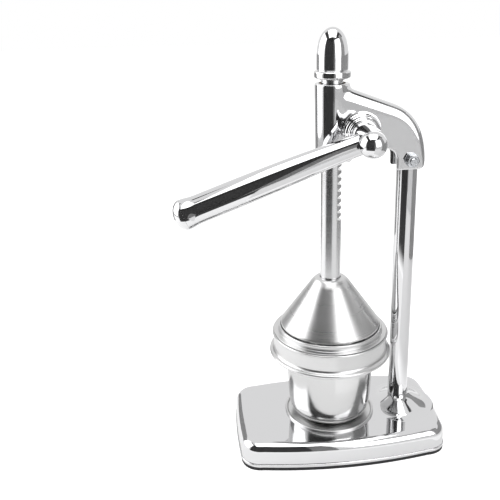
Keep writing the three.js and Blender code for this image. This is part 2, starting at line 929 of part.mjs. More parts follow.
// Pinion: involute teeth, one of them pointing at the rack
function pinionOutline() {
  const pitchRadius = (gear_module * pinion_teeth) / 2;
  const baseRadius = pitchRadius * Math.cos(pressure_angle);
  const tipRadius = pitchRadius + gear_module;
  const rootRadius = pitchRadius - rack_dedendum;
  const involute = (radius) => {
    const angle = Math.acos(Math.min(baseRadius / radius, 1));
    return Math.tan(angle) - angle;
  };
  const pitchHalf = Math.PI / (2 * pinion_teeth) - tooth_backlash / (2 * pitchRadius);
  const halfAngle = (radius) => pitchHalf + involute(pitchRadius) - involute(radius);
  const flank = Array.from({ length: flank_points }, (_, i) => {
    const radius = baseRadius + ((tipRadius - baseRadius) * i) / (flank_points - 1);
    return [radius, halfAngle(radius)];
  });
  const side = [[rootRadius, halfAngle(baseRadius)], ...flank];
  const tooth = [
    ...side.map(([radius, angle]) => [radius, -angle]),
    ...side.map(([radius, angle]) => [radius, angle]).reverse(),
  ];
  return Array.from({ length: pinion_teeth }, (_, i) => Math.PI + (2 * Math.PI * i) / pinion_teeth).flatMap(
    (middle) =>
      tooth.map(([radius, angle]) => [radius * Math.cos(middle + angle), radius * Math.sin(middle + angle)]),
  );
}
function keyBlock(gap) {
  return box(
    new THREE.Vector3(-pinion_half_width + running_gap - gap, -key_width / 2 - gap, key_inner_radius - gap),
    new THREE.Vector3(pinion_half_width - running_gap + gap, key_width / 2 + gap, key_outer_radius + gap),
  );
}
const shaftHole = (radius) => turnedAlongX(barrel(radius, -far_boss_reach, near_boss_step_reach), small_sides);
piece(
  lever,
  "pinion_gear",
  cut(plate(pinionOutline(), pinion_half_width), shaftHole(shaft_radius + running_gap), keyBlock(running_gap)),
  zinc_steel,
);
piece(lever, "pinion_key", keyBlock(0), zinc_steel);

// Pinion shaft with its ring groove at the far end and a dimple for the set screw
const ring_near = far_boss_reach + shaft_washer_height + running_gap / 2;
const ring_far = ring_near + ring_thickness;
const setScrewInner = shaft_radius - set_screw_key_depth / 2;
const alongBar = (geometry) => geometry.rotateX(Math.PI / 2 + lever_tilt);
function pinionShaft() {
  const shaft = turnedAlongX(
    [
      [0, -shaft_far_end],
      [shaft_radius - bolt_end_chamfer, -shaft_far_end],
      [shaft_radius, bolt_end_chamfer - shaft_far_end],
      [shaft_radius, -ring_far - running_gap / 2],
      [ring_groove_radius, -ring_far - running_gap / 2],
      [ring_groove_radius, running_gap / 2 - ring_near],
      [shaft_radius, running_gap / 2 - ring_near],
      [shaft_radius, hub_bore_end - running_gap],
      [0, hub_bore_end - running_gap],
    ],
    small_sides,
  );
  const dimple = geometryOf(
    turned(barrel(set_screw_radius + running_gap, -shaft_radius - overrun, -setScrewInner + running_gap), small_sides),
  );
  return cut(shaft, keyBlock(running_gap), moved(solidOf(alongBar(dimple)), bar_place, 0, 0));
}
piece(lever, "pinion_shaft", pinionShaft(), zinc_steel);
piece(
  lever,
  "shaft_washer",
  turnedAlongX(
    tube(shaft_radius + running_gap, shaft_washer_radius, -far_boss_reach - shaft_washer_height, -far_boss_reach),
    small_sides,
  ),
  zinc_steel,
);
function shaftRing() {
  const ring = turnedAlongX(tube(ring_groove_radius + running_gap, ring_radius, -ring_far, -ring_near), small_sides);
  const mouth = box(
    new THREE.Vector3(-ring_far - overrun, -ring_mouth / 2, 0),
    new THREE.Vector3(overrun - ring_near, ring_mouth / 2, ring_radius + overrun),
  );
  return cut(ring, mouth);
}
piece(lever, "shaft_ring", shaftRing(), zinc_steel);

// Lever arm: the cross hub with its ball end, and the handle that swells to a flared rim
function leverArm() {
  const hubStart = near_boss_step_reach + running_gap;
  const ball = arc(0, hub_ball_place, hub_ball_radius, -Math.PI / 5, Math.PI / 2, curve_points).map(([r, x]) => [
    Math.max(r, 0),
    x,
  ]);
  ball[ball.length - 1][0] = 0;
  const hub = turnedAlongX(
    [[0, hubStart], [hub_radius - boss_round / 2, hubStart], [hub_radius, hubStart + boss_round / 2], ...ball.filter(([r], i) => r >= hub_radius || i > 2)],
    middle_sides,
  );
  const flareStart = bar_length - bar_flare_length;
  const flare = flare_shares.map(([s, t]) => [
    bar_end_radius + (bar_rim_radius - bar_end_radius) * t,
    flareStart + bar_flare_length * s,
  ]);
  const handle = turned(
    [[0, bar_start], [bar_root_radius, bar_start], [bar_root_radius, bar_root], ...flare, [0, bar_length]],
    middle_sides,
  );
  const spigotHole = turned(
    barrel(
      cap_spigot_radius + running_gap,
      bar_length - cap_spigot_length - running_gap,
      bar_length + overrun,
    ),
    small_sides,
  );
  const screwHole = turned(barrel(set_screw_radius + running_gap, -hub_radius - overrun, 0), small_sides);
  const turnedBar = (solid) => moved(solidOf(alongBar(geometryOf(solid))), bar_place, 0, 0);
  const bore = turnedAlongX(barrel(shaft_radius + running_gap, hubStart - overrun, hub_bore_end), small_sides);
  return cut(joined(hub, turnedBar(handle)), bore, turnedBar(spigotHole), turnedBar(screwHole));
}
piece(lever, "lever_arm", leverArm(), mirror_chrome);

function leverEndCap() {
  const rimPlace = bar_length + running_gap;
  const dome = Array.from({ length: cap_points + 1 }, (_, i) => {
    const angle = (Math.PI / 2) * (i / cap_points);
    return [i === cap_points ? 0 : bar_rim_radius * Math.cos(angle), rimPlace + running_gap + cap_dome * Math.sin(angle)];
  });
  const cap = turned(
    [
      [0, bar_length - cap_spigot_length],
      [cap_spigot_radius, bar_length - cap_spigot_length],
      [cap_spigot_radius, rimPlace],
      [bar_rim_radius, rimPlace],
      ...dome,
    ],
    middle_sides,
  );
  return moved(solidOf(alongBar(geometryOf(cap))), bar_place, 0, 0);
}
piece(lever, "lever_end_cap", leverEndCap(), mirror_chrome);

function leverSetScrew() {
  const outer = hub_radius - set_screw_inset;
  const screw = turned(barrel(set_screw_radius, -outer, -setScrewInner - running_gap), small_sides);
  const key = turned(barrel(set_screw_key_radius, -outer - overrun, set_screw_key_depth - outer), hex_sides);
  return moved(solidOf(alongBar(geometryOf(cut(screw, key)))), bar_place, 0, 0);
}
piece(lever, "lever_set_screw", leverSetScrew(), zinc_steel);

// Ram with rack teeth cut into its back, in step with the pinion
const cone_foot_height = flange_bottom + cone_foot_gap;
const cone_shoulder_height = cone_foot_height + cone_rise;
const press_hub_height = cone_shoulder_height - press_hub_drop;
const washer_top = press_hub_height - press_hub_length;
const nut_top = washer_top - press_washer_height;
const stud_bottom = nut_top - press_nut_height - press_stud_end;
function ramRack() {
  const bar = turned(
    [
      [0, stud_bottom],
      [press_stud_radius, stud_bottom],
      [press_stud_radius, press_hub_height],
      [ram_radius, press_hub_height],
      [ram_radius, knob_seat_height],
      [knob_stud_radius, knob_seat_height],
      [knob_stud_radius, knob_seat_height + knob_stud_length],
      [0, knob_seat_height + knob_stud_length],
    ],
    middle_sides,
  );
  const pitch = Math.PI * gear_module;
  const crest = rack_pitch_line + rack_addendum;
  const root = rack_pitch_line - rack_dedendum;
  const middleHalf = pitch / 4 + tooth_backlash / 4;
  const crestHalf = middleHalf + rack_addendum * Math.tan(pressure_angle);
  const rootHalf = middleHalf - rack_dedendum * Math.tan(pressure_angle);
  const bottom = shaft_height - (rack_teeth_below + 1 / 2) * pitch;
  const top = shaft_height + (rack_teeth_above + 1 / 2) * pitch;
  const comb = [
    [ram_radius + overrun, bottom],
    [crest, bottom],
  ];
  for (let tooth = -rack_teeth_below; tooth <= rack_teeth_above; tooth += 1) {
    const z = shaft_height + tooth * pitch;
    comb.push([crest, z - crestHalf], [root, z - rootHalf], [root, z + rootHalf], [crest, z + crestHalf]);
  }
  comb.push([crest, top], [ram_radius + overrun, top]);
  return cut(bar, plate(comb, ram_radius + overrun));
}
piece(ram, "ram_rack", ramRack(), mirror_chrome);

function ramKnob() {
  const collarTop = knob_seat_height + knob_collar_height;
  const start = collarTop + knob_neck_height;
  const collar = knob_collar_radius;
  const bullet = Array.from({ length: knob_rings + 1 }, (_, i) => {
    const u = Math.sin((Math.PI / 2) * (i / knob_rings));
    const height = knob_straight_share + (1 - knob_straight_share) * u;
    const radius = i === knob_rings ? 0 : knob_radius * Math.sqrt(1 - u ** knob_curve);
    return [radius, start + knob_length * height];
  });
  const knob = turned(
    [
      [0, knob_seat_height],
      [collar - 2 * knob_collar_round, knob_seat_height],
      [collar, knob_seat_height + knob_collar_round],
      [collar, collarTop - knob_collar_round],
      [collar - knob_collar_round, collarTop],
      [knob_neck_radius, collarTop],
      [knob_neck_radius, start],
      [knob_radius, start + knob_neck_height],
      ...bullet,
    ],
    middle_sides,
  );
  const hole = turned(
    barrel(
      knob_stud_radius + running_gap,
      knob_seat_height - overrun,
      knob_seat_height + knob_stud_length + running_gap,
    ),
    small_sides,
  );
  return cut(knob, hole);
}
piece(ram, "ram_knob", ramKnob(), mirror_chrome);

// Press cone: a thin spun cover with a round shoulder under the ram
const coneTop = cone_shoulder_height + cone_top_rise;
const coneLine = [
  [ram_radius + running_gap, coneTop],
  [(ram_radius + cone_shoulder_radius) / 2, coneTop - cone_top_rise / 4],
  [cone_shoulder_radius, cone_shoulder_height],
  [cone_foot_radius, cone_foot_height],
  [cone_foot_radius + cone_hem / 2, cone_foot_height - cone_hem],
];
const coneSheet = sheet(coneLine, -cone_wall).map(([r, z]) => [Math.max(r, ram_radius + running_gap), z]);
piece(ram, "press_cone", turned(coneSheet, large_sides), satin_steel);

// Press cup under the cone, with a hollow that closes over the reamer
function pressCup() {
  const slope = (cone_foot_radius - cone_shoulder_radius) / (cone_shoulder_height - cone_foot_height);
  const skin = (cone_wall + running_gap) * Math.hypot(1, slope) + running_gap;
  const outerAt = (z) => cone_foot_radius - slope * (z - cone_foot_height) - skin;
  const rimBottom = cone_foot_height - press_rim_drop;
  const rim = outerAt(cone_foot_height);
  const hollowRadius = rim - press_rim_width;
  const hollowHeight = washer_top - rimBottom;
  const hollow = press_inner_shares.map(([r, z]) => [r * hollowRadius, rimBottom + z * hollowHeight]);
  return turned(
    [
      [press_stud_radius + running_gap, press_hub_height],
      [outerAt(press_hub_height), press_hub_height],
      [rim, cone_foot_height],
      [rim, rimBottom],
      [hollowRadius, rimBottom],
      ...hollow,
      [press_stud_radius + running_gap, washer_top],
    ],
    large_sides,
  );
}
piece(ram, "press_cup", pressCup(), cast_aluminium);
piece(
  ram,
  "press_washer",
  turned(tube(press_stud_radius + running_gap, press_washer_radius, nut_top, washer_top), small_sides),
  zinc_steel,
);
piece(
  ram,
  "press_nut",
  cut(
    turned(barrel(hexagonRadius(press_nut_width), nut_top - press_nut_height, nut_top), hex_sides),
    turned(
      barrel(press_stud_radius + running_gap, nut_top - press_nut_height - overrun, nut_top + overrun),
      small_sides,
    ),
  ),
  zinc_steel,
);

export default press;
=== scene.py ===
import json
import math

import bmesh
import bpy
from mathutils import Matrix, Vector


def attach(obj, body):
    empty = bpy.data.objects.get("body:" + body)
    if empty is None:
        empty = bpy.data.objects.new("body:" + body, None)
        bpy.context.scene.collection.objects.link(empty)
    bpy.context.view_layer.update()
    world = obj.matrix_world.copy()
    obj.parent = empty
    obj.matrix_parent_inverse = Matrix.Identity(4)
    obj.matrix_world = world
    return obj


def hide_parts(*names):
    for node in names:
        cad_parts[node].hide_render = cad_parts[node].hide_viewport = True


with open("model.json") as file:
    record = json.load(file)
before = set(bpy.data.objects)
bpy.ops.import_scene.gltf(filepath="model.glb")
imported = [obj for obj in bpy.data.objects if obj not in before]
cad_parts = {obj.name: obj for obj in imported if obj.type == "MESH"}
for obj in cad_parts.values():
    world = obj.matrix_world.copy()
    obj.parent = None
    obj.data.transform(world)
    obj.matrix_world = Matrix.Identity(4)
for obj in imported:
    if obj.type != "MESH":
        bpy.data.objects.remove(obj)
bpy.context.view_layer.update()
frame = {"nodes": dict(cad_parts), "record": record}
nodes = frame["nodes"]
MM = 0.001

# %% [markdown]
# Colours are written as the hex values that a paint program shows, in sRGB.
# The shader works in linear light, so one function turns them over.
# %% Colours
def linear_colour(hex_value):
    """An sRGB hex colour as the linear RGBA that a shader takes."""
    shares = [int(hex_value[i : i + 2], 16) / 255 for i in (1, 3, 5)]
    return (*[s / 12.92 if s <= 0.04045 else ((s + 0.055) / 1.055) ** 2.4 for s in shares], 1)


print("mid grey:", linear_colour("#808080"))

# %% [markdown]
# A finish is a small net of nodes. One function adds a node, sets its values and links its inputs:
# an input gets a plain value, or a socket of an earlier node.
# %% Nodes
def add_node(tree, kind, inputs=None, **settings):
    """Adds a node; settings are its own properties, inputs its sockets by name or number."""
    node = tree.nodes.new(kind)
    for name, value in settings.items():
        setattr(node, name, value)
    for key, value in (inputs or {}).items():
        if isinstance(value, bpy.types.NodeSocket):
            tree.links.new(value, node.inputs[key])
        else:
            node.inputs[key].default_value = value
    return node


def new_finish(name, colour, roughness, metallic):
    """Makes a Principled material; returns it, its tree, its shader and the object coordinates."""
    material = bpy.data.materials.new(name)
    material.use_nodes = True
    tree = material.node_tree
    shader = tree.nodes["Principled BSDF"]
    shader.inputs["Base Color"].default_value = linear_colour(colour)
    shader.inputs["Roughness"].default_value = roughness
    shader.inputs["Metallic"].default_value = metallic
    place = add_node(tree, "ShaderNodeTexCoord").outputs["Object"]
    return material, tree, shader, place


def patches(tree, place, size_mm, detail=2.0):
    """Soft irregular patches about size_mm across, from 0 to 1."""
    return add_node(
        tree,
        "ShaderNodeTexNoise",
        {"Vector": place, "Scale": 1 / (size_mm * MM), "Detail": detail, "Roughness": 0.5},
    ).outputs["Fac"]


def spread(tree, value, low, high):
    """Stretches the middle of a 0 to 1 pattern over the range from low to high."""
    return add_node(
        tree,
        "ShaderNodeMapRange",
        {"Value": value, "From Min": 0.3, "From Max": 0.7, "To Min": low, "To Max": high},
    ).outputs["Result"]


def relief(tree, shader, height, depth_mm):
    """Uses a pattern as the height of a fine relief of the surface."""
    bump = add_node(
        tree, "ShaderNodeBump", {"Height": height, "Distance": depth_mm * MM, "Strength": 1.0}
    )
    tree.links.new(bump.outputs["Normal"], shader.inputs["Normal"])


# %% [markdown]
# Mirror chrome plate: castings and bars are ground, buffed and plated with nickel and chrome.
# The plate is a mirror that gives back about two thirds of the light, a little cold in tone.
# Buffing leaves a faint waviness some 9 mm long and a haze that is stronger in some places.
# A Principled metal gives the mirror, one noise the haze and a second, very shallow one the waviness.
# %% Mirror chrome plate
CHROME_WAVE_MM = 9
CHROME_WAVE_DEPTH_MM = 0.006
CHROME_HAZE_MM = 14


def mirror_chrome_plate():
    material, tree, shader, place = new_finish("mirror chrome plate", "#D5D5D6", 0.05, 1)
    haze = spread(tree, patches(tree, place, CHROME_HAZE_MM, 3), 0.03, 0.07)
    tree.links.new(haze, shader.inputs["Roughness"])
    relief(tree, shader, patches(tree, place, CHROME_WAVE_MM, 0), CHROME_WAVE_DEPTH_MM)
    return material


chrome = mirror_chrome_plate()
print("made", chrome.name)

# %% [markdown]
# Satin stainless steel: the cone, bowl, strainer and cup are spun or drawn from sheet and then
# polished with a fine belt while they turn. That leaves hair lines round the axis, about 0.1 mm apart.
# The lines make a highlight soft, and they show as faint rings in a dark reflection.
# The pattern is noise with four coordinates: the height, the distance from the axis and, made
# very small, the two parts of the direction round the axis. So each line runs round the piece
# without a seam and changes slowly on its way.
# A spacing of 0.1 mm can't show at this size, so the lines are drawn 0.7 mm apart and very shallow.
# The juice cup is buffed brighter than the rest: the same net, smoother and with shallower lines.
# The ram is ground round and then plated, which leaves the plate a little soft.
# %% Satin stainless steel, bright steel and ground chrome
LINE_SPACING_MM = 0.7
SLOW_TURN_MM = 0.4
SATIN_DEPTH_MM = 0.004
BRIGHT_DEPTH_MM = 0.003
GROUND_DEPTH_MM = 0.0015


def round_lines(tree, place, spacing_mm):
    """Noise that changes quickly along the slope of a turned piece and slowly round it."""
    parts = add_node(tree, "ShaderNodeSeparateXYZ", {"Vector": place})
    x, y, height = (parts.outputs[name] for name in "XYZ")
    flat = add_node(tree, "ShaderNodeCombineXYZ", {"X": x, "Y": y})
    radius = add_node(tree, "ShaderNodeVectorMath", {0: flat.outputs[0]}, operation="LENGTH")
    way = add_node(tree, "ShaderNodeVectorMath", {0: flat.outputs[0]}, operation="NORMALIZE")
    slow = add_node(
        tree, "ShaderNodeVectorMath", {0: way.outputs[0], "Scale": SLOW_TURN_MM * MM}, operation="SCALE"
    )
    up = add_node(tree, "ShaderNodeCombineXYZ", {"Z": height})
    spot = add_node(
        tree, "ShaderNodeVectorMath", {0: slow.outputs[0], 1: up.outputs[0]}, operation="ADD"
    )
    return add_node(
        tree,
        "ShaderNodeTexNoise",
        {
            "Vector": spot.outputs[0],
            "W": radius.outputs["Value"],
            "Scale": 1 / (spacing_mm * MM),
            "Detail": 2.0,
        },
        noise_dimensions="4D",
    ).outputs["Fac"]


def lined_metal(name, colour, smoothest, roughest, depth_mm):
    """A metal with fine lines round its axis, rougher in some lines than in others."""
    material, tree, shader, place = new_finish(name, colour, (smoothest + roughest) / 2, 1)
    lines = round_lines(tree, place, LINE_SPACING_MM)
    tree.links.new(spread(tree, lines, smoothest, roughest), shader.inputs["Roughness"])
    relief(tree, shader, lines, depth_mm)
    return material


satin = lined_metal("satin stainless steel", "#CFCFCF", 0.27, 0.32, SATIN_DEPTH_MM)
bright_steel = lined_metal("bright buffed stainless steel", "#C8C8C8", 0.13, 0.19, BRIGHT_DEPTH_MM)
ground_chrome = lined_metal("ground chrome plate", "#D5D5D6", 0.2, 0.27, GROUND_DEPTH_MM)
print("made", satin.name, bright_steel.name, ground_chrome.name)

# %% [markdown]
# Cast aluminium: the cup under the cone comes from a mould with a fine grain and is tumbled.
# It is duller and a little darker than steel, with a grain of about 0.8 mm.
# %% Tumbled cast aluminium
GRAIN_MM = 0.8
GRAIN_DEPTH_MM = 0.03


def tumbled_cast_aluminium():
    material, tree, shader, place = new_finish("tumbled cast aluminium", "#B9BABC", 0.42, 1)
    grain = patches(tree, place, GRAIN_MM, 3)
    tree.links.new(spread(tree, grain, 0.36, 0.5), shader.inputs["Roughness"])
    relief(tree, shader, grain, GRAIN_DEPTH_MM)
    return material


cast = tumbled_cast_aluminium()
print("made", cast.name)

# %% [markdown]
# Bright zinc plate: bolts, nuts, washers and the pinion are plated in a barrel.
# The plate is bright but cloudy, with spots of a few millimetres that differ in gloss.
# %% Bright zinc plate
CLOUD_MM = 3
PLATE_GRAIN_MM = 0.5
PLATE_GRAIN_DEPTH_MM = 0.008


def bright_zinc_plate():
    material, tree, shader, place = new_finish("bright zinc plate", "#BFC1C4", 0.25, 1)
    clouds = patches(tree, place, CLOUD_MM, 3)
    tree.links.new(spread(tree, clouds, 0.16, 0.34), shader.inputs["Roughness"])
    relief(tree, shader, patches(tree, place, PLATE_GRAIN_MM), PLATE_GRAIN_DEPTH_MM)
    return material


zinc = bright_zinc_plate()
print("made", zinc.name)

# %% [markdown]
# Oiled sintered bronze: the bushes are pressed from powder, so they are a warm matt brown with
# fine pores. Noise 0.6 mm across darkens the pores and roughens them.
# %% Oiled sintered bronze
PORE_MM = 0.6
PORE_DEPTH_MM = 0.02


def oiled_sintered_bronze():
    material, tree, shader, place = new_finish("oiled sintered bronze", "#B08A55", 0.4, 1)
    pores = patches(tree, place, PORE_MM, 3)
    dark, light = linear_colour("#8A6A3E"), linear_colour("#BE9760")
    colour = add_node(
        tree,
        "ShaderNodeMix",
        {"Factor": spread(tree, pores, 0, 1), "A": dark, "B": light},
        data_type="RGBA",
    )
    tree.links.new(colour.outputs["Result"], shader.inputs["Base Color"])
    tree.links.new(spread(tree, pores, 0.48, 0.34), shader.inputs["Roughness"])
    relief(tree, shader, pores, PORE_DEPTH_MM)
    return material


bronze = oiled_sintered_bronze()
print("made", bronze.name)

# %% [markdown]
# Matt black rubber: the sole is a moulded sheet. It is nearly black, never shiny,
# with a fine moulded grain about 1 mm across.
# %% Matt black rubber
RUBBER_GRAIN_MM = 1
RUBBER_GRAIN_DEPTH_MM = 0.05


def matt_black_rubber():
    material, tree, shader, place = new_finish("matt black rubber", "#1D1D1F", 0.75, 0)
    grain = patches(tree, place, RUBBER_GRAIN_MM, 3)
    tree.links.new(spread(tree, grain, 0.65, 0.85), shader.inputs["Roughness"])
    relief(tree, shader, grain, RUBBER_GRAIN_DEPTH_MM)
    return material


rubber = matt_black_rubber()
print("made", rubber.name)

# %% [markdown]
# The record names six finishes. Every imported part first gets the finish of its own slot,
# so that no part is left with a flat colour, and the pieces made below use the same table.
# %% Finishes by slot
finishes = {
    "mirror_chrome": chrome,
    "satin_steel": satin,
    "cast_aluminium": cast,
    "zinc_steel": zinc,
    "bronze": bronze,
    "black_rubber": rubber,
}
slot_of = {part["node"]: part["material_slot"] for part in frame["record"]["subparts"]}
for name, node in nodes.items():
    for place in node.material_slots:
        place.material = finishes[slot_of[name]]
print("dressed", len(slot_of), "packed parts")

# %% [markdown]
# Most parts of the press are turned or spun, so most pieces start as half of their outline:
# a chain of points, each a radius and a height in millimetres. A third number rounds that corner.
# A bevel of the one vertex makes the rounding, and a full spin with its ends merged makes the piece.
# %% Outlines
SMALL_SIDES, SIDES, LARGE_SIDES = 64, 96, 128
ROUNDING_STEPS = 6
WELD = 1e-7


def outline(mesh, points):
    """Draws a closed chain of (radius, height) or (radius, height, rounding) points, in millimetres."""
    corners = [mesh.verts.new((point[0] * MM, 0, point[1] * MM)) for point in points]
    for pair in zip(corners, corners[1:] + corners[:1]):
        mesh.edges.new(pair)
    for corner, point in zip(corners, points):
        if len(point) > 2:
            bmesh.ops.bevel(
                mesh,
                geom=[corner],
                offset=point[2] * MM,
                offset_type="OFFSET",
                segments=ROUNDING_STEPS,
                profile=0.5,
                affect="VERTICES",
                material=-1,
            )


def spin_round(mesh, sides):
    """Spins everything in the mesh once round the Z axis and closes the seam and the poles."""
    bmesh.ops.spin(
        mesh,
        geom=mesh.verts[:] + mesh.edges[:],
        cent=(0, 0, 0),
        axis=(0, 0, 1),
        angle=2 * math.pi,
        steps=sides,
        use_merge=True,
    )
    bmesh.ops.remove_doubles(mesh, verts=mesh.verts[:], dist=WELD)
    bmesh.ops.dissolve_degenerate(mesh, edges=mesh.edges[:], dist=WELD)
    bmesh.ops.recalc_face_normals(mesh, faces=mesh.faces[:])


# %% [markdown]
# A piece is smooth where its faces meet at small angles and sharp elsewhere. Area-weighted normals
# keep flats and cylinders true right up to their narrow roundings, which a mirror finish shows.
# %% Pieces
SHARP_ANGLE = math.radians(40)


def as_piece(name, mesh, body, slot, replaced, finish=None):
    """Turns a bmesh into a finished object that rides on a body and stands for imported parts."""
    data = bpy.data.meshes.new(name)
    mesh.to_mesh(data)
    mesh.free()
    data.polygons.foreach_set("use_smooth", [True] * len(data.polygons))
    data.set_sharp_from_angle(angle=SHARP_ANGLE)
    piece = bpy.data.objects.new(name, data)
    bpy.context.scene.collection.objects.link(piece)
    data.materials.append(finish or finishes[slot])
    piece.modifiers.new("flats stay flat", "WEIGHTED_NORMAL").keep_sharp = True
    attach(piece, body)
    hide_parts(*replaced)
    print(name, "has", len(data.polygons), "faces")
    return piece


UPRIGHT = Matrix.Identity(4)


def along_x(y, z):
    """Lays a turned piece over so that its heights run along +X, at a place in millimetres."""
    return Matrix.Translation((0, y * MM, z * MM)) @ Matrix.Rotation(math.pi / 2, 4, "Y")


def turned(name, body, slot, replaced, points, place=UPRIGHT, sides=SIDES, finish=None):
    """One piece spun from a closed outline."""
    whole = bmesh.new()
    outline(whole, points)
    spin_round(whole, sides)
    bmesh.ops.transform(whole, matrix=place, verts=whole.verts[:])
    return as_piece(name, whole, body, slot, [replaced], finish)


def join_form(whole, extra):
    """Adds another closed form to a mesh; the two simply run into each other."""
    data = bpy.data.meshes.new("added form")
    extra.to_mesh(data)
    extra.free()
    whole.from_mesh(data)


# %% [markdown]
# The knob is a turned bullet on a round collar, over a short neck. Its sides are straight at first
# and then close to a blunt tip, so the outline follows a superellipse with an exponent of 2.4.
# %% Knob
KNOB_SEAT = 331.2
KNOB_LENGTH, KNOB_RADIUS = 33.6, 12.9
KNOB_STRAIGHT = 0.28
KNOB_EXPONENT = 2.4
KNOB_STEPS = 22
NECK_RADIUS, NECK_TOP = 11, KNOB_SEAT + 0.9
COLLAR_RADIUS, COLLAR_TOP = 15, KNOB_SEAT + 6.9
GROOVE_RADIUS, GROOVE_TOP = 12.4, KNOB_SEAT + 7.4


def knob_outline():
    bullet = []
    for step in range(KNOB_STEPS + 1):
        u = math.sin(math.pi / 2 * step / KNOB_STEPS)
        bullet.append(
            (
                KNOB_RADIUS * math.sqrt(max(0, 1 - u**KNOB_EXPONENT)),
                GROOVE_TOP + KNOB_LENGTH * (KNOB_STRAIGHT + (1 - KNOB_STRAIGHT) * u),
            )
        )
    return [
        (0, KNOB_SEAT),
        (NECK_RADIUS, KNOB_SEAT, 0.4),
        (NECK_RADIUS, NECK_TOP, 0.3),
        (COLLAR_RADIUS, NECK_TOP, 1.7),
        (COLLAR_RADIUS, COLLAR_TOP, 1.5),
        (GROOVE_RADIUS, COLLAR_TOP, 0.2),
        (GROOVE_RADIUS, GROOVE_TOP, 0.2),
        (KNOB_RADIUS, GROOVE_TOP + 0.5, 0.3),
        *bullet,
    ]


turned("ram_knob_bullet", "ram", "mirror_chrome", "ram_knob", knob_outline())

# %% [markdown]
# The ram is a ground bar with a rack cut into its back and a thinner stud at its foot. The bar is
# spun, and the rack's gaps are cut by one comb of trapezoids, 6.283 mm apart, the pitch of a
# module 2 rack. The comb also takes the bar's back down to the flat tops of the teeth.
# A Boolean modifier cuts it and is applied, so that the piece carries its own final mesh.
# %% Ram with its rack
RAM_RADIUS, RAM_FOOT = 9, 152.6
STUD_RADIUS, STUD_FOOT = 5, 132.3
PITCH = math.pi * 2
TOOTH_TOP, TOOTH_ROOT = 8.1, 4
GAP_HALF_TOP, GAP_HALF_ROOT = 2.24, 0.75
FIRST_GAP, LAST_GAP = -12, 2
OUTSIDE = 11
SHAFT_Y = 22.5
SHAFT_Z = 289


def scratch_object(mesh, name="scratch"):
    data = bpy.data.meshes.new(name)
    mesh.to_mesh(data)
    mesh.free()
    made = bpy.data.objects.new(name, data)
    bpy.context.scene.collection.objects.link(made)
    return made


def extruded(points, axis_index, low, high):
    """A prism from a closed outline in the plane across one axis, from low to high, in millimetres."""
    prism = bmesh.new()
    corners = []
    for point in points:
        place = list(point)
        place.insert(axis_index, low)
        corners.append(prism.verts.new(Vector(place) * MM))
    face = prism.faces.new(corners)
    made = bmesh.ops.extrude_face_region(prism, geom=[face])
    shift = [0, 0, 0]
    shift[axis_index] = (high - low) * MM
    tops = [part for part in made["geom"] if isinstance(part, bmesh.types.BMVert)]
    bmesh.ops.translate(prism, vec=shift, verts=tops)
    bmesh.ops.recalc_face_normals(prism, faces=prism.faces[:])
    return prism


def combine(base, tool, operation):
    """Applies one boolean between two scratch objects and removes the tool."""
    cutter = base.modifiers.new("cut", "BOOLEAN")
    cutter.object, cutter.operation, cutter.solver = tool, operation, "EXACT"
    settle(base)
    bpy.data.objects.remove(tool)
    return base


def settle(thing):
    """Applies every modifier of an object to its mesh."""
    bpy.context.view_layer.update()
    final = bpy.data.meshes.new_from_object(
        thing.evaluated_get(bpy.context.evaluated_depsgraph_get())
    )
    thing.modifiers.clear()
    thing.data = final


def taken_back(thing):
    """The mesh of a scratch object as a bmesh again."""
    mesh = bmesh.new()
    mesh.from_mesh(thing.data)
    bpy.data.objects.remove(thing)
    bmesh.ops.remove_doubles(mesh, verts=mesh.verts[:], dist=WELD)
    return mesh


def ram_with_rack():
    bar = bmesh.new()
    top = KNOB_SEAT + 0.1
    outline(
        bar,
        [
            (0, STUD_FOOT),
            (STUD_RADIUS, STUD_FOOT, 0.6),
            (STUD_RADIUS, RAM_FOOT),
            (RAM_RADIUS, RAM_FOOT),
            (RAM_RADIUS, top),
            (0, top),
        ],
    )
    spin_round(bar, SIDES)
    low, high = (SHAFT_Z + (gap + end) * PITCH for gap, end in ((FIRST_GAP, -0.5), (LAST_GAP, 0.5)))
    comb = [(OUTSIDE, low), (TOOTH_TOP, low)]
    for gap in range(FIRST_GAP, LAST_GAP + 1):
        middle = SHAFT_Z + gap * PITCH
        comb += [
            (TOOTH_TOP, middle - GAP_HALF_TOP),
            (TOOTH_ROOT, middle - GAP_HALF_ROOT),
            (TOOTH_ROOT, middle + GAP_HALF_ROOT),
            (TOOTH_TOP, middle + GAP_HALF_TOP),
        ]
    comb += [(TOOTH_TOP, high), (OUTSIDE, high)]
    cutter = scratch_object(extruded(comb, 0, -OUTSIDE - 1, OUTSIDE + 1))
    return taken_back(combine(scratch_object(bar), cutter, "DIFFERENCE"))


as_piece("ram_bar", ram_with_rack(), "ram", "mirror_chrome", ["ram_rack"], ground_chrome)

# %% [markdown]
# The press cone is spun from one disc of sheet. It has a round shoulder under the ram, a straight
# slope and a small hem at its foot, where the sheet is turned straight down.
# %% Press cone
CONE_FOOT = 115.8
CONE_HEM = 1.75  # how far the hem reaches below the slope
CONE = [
    (9.3, 158.4),
    (12.6, 158.1, 1.6),
    (16.2, 154.9, 3.2),
    (44, CONE_FOOT, 0.5),
    (44.3, CONE_FOOT - CONE_HEM, 0.3),
    (43.1, CONE_FOOT - CONE_HEM, 0.3),
    (42.7, CONE_FOOT - 0.2),
    (15.2, 153.4, 3),
    (12.2, 156.8),
    (9.3, 157),
]
turned("press_cone_shell", "ram", "satin_steel", "press_cone", CONE, sides=LARGE_SIDES)

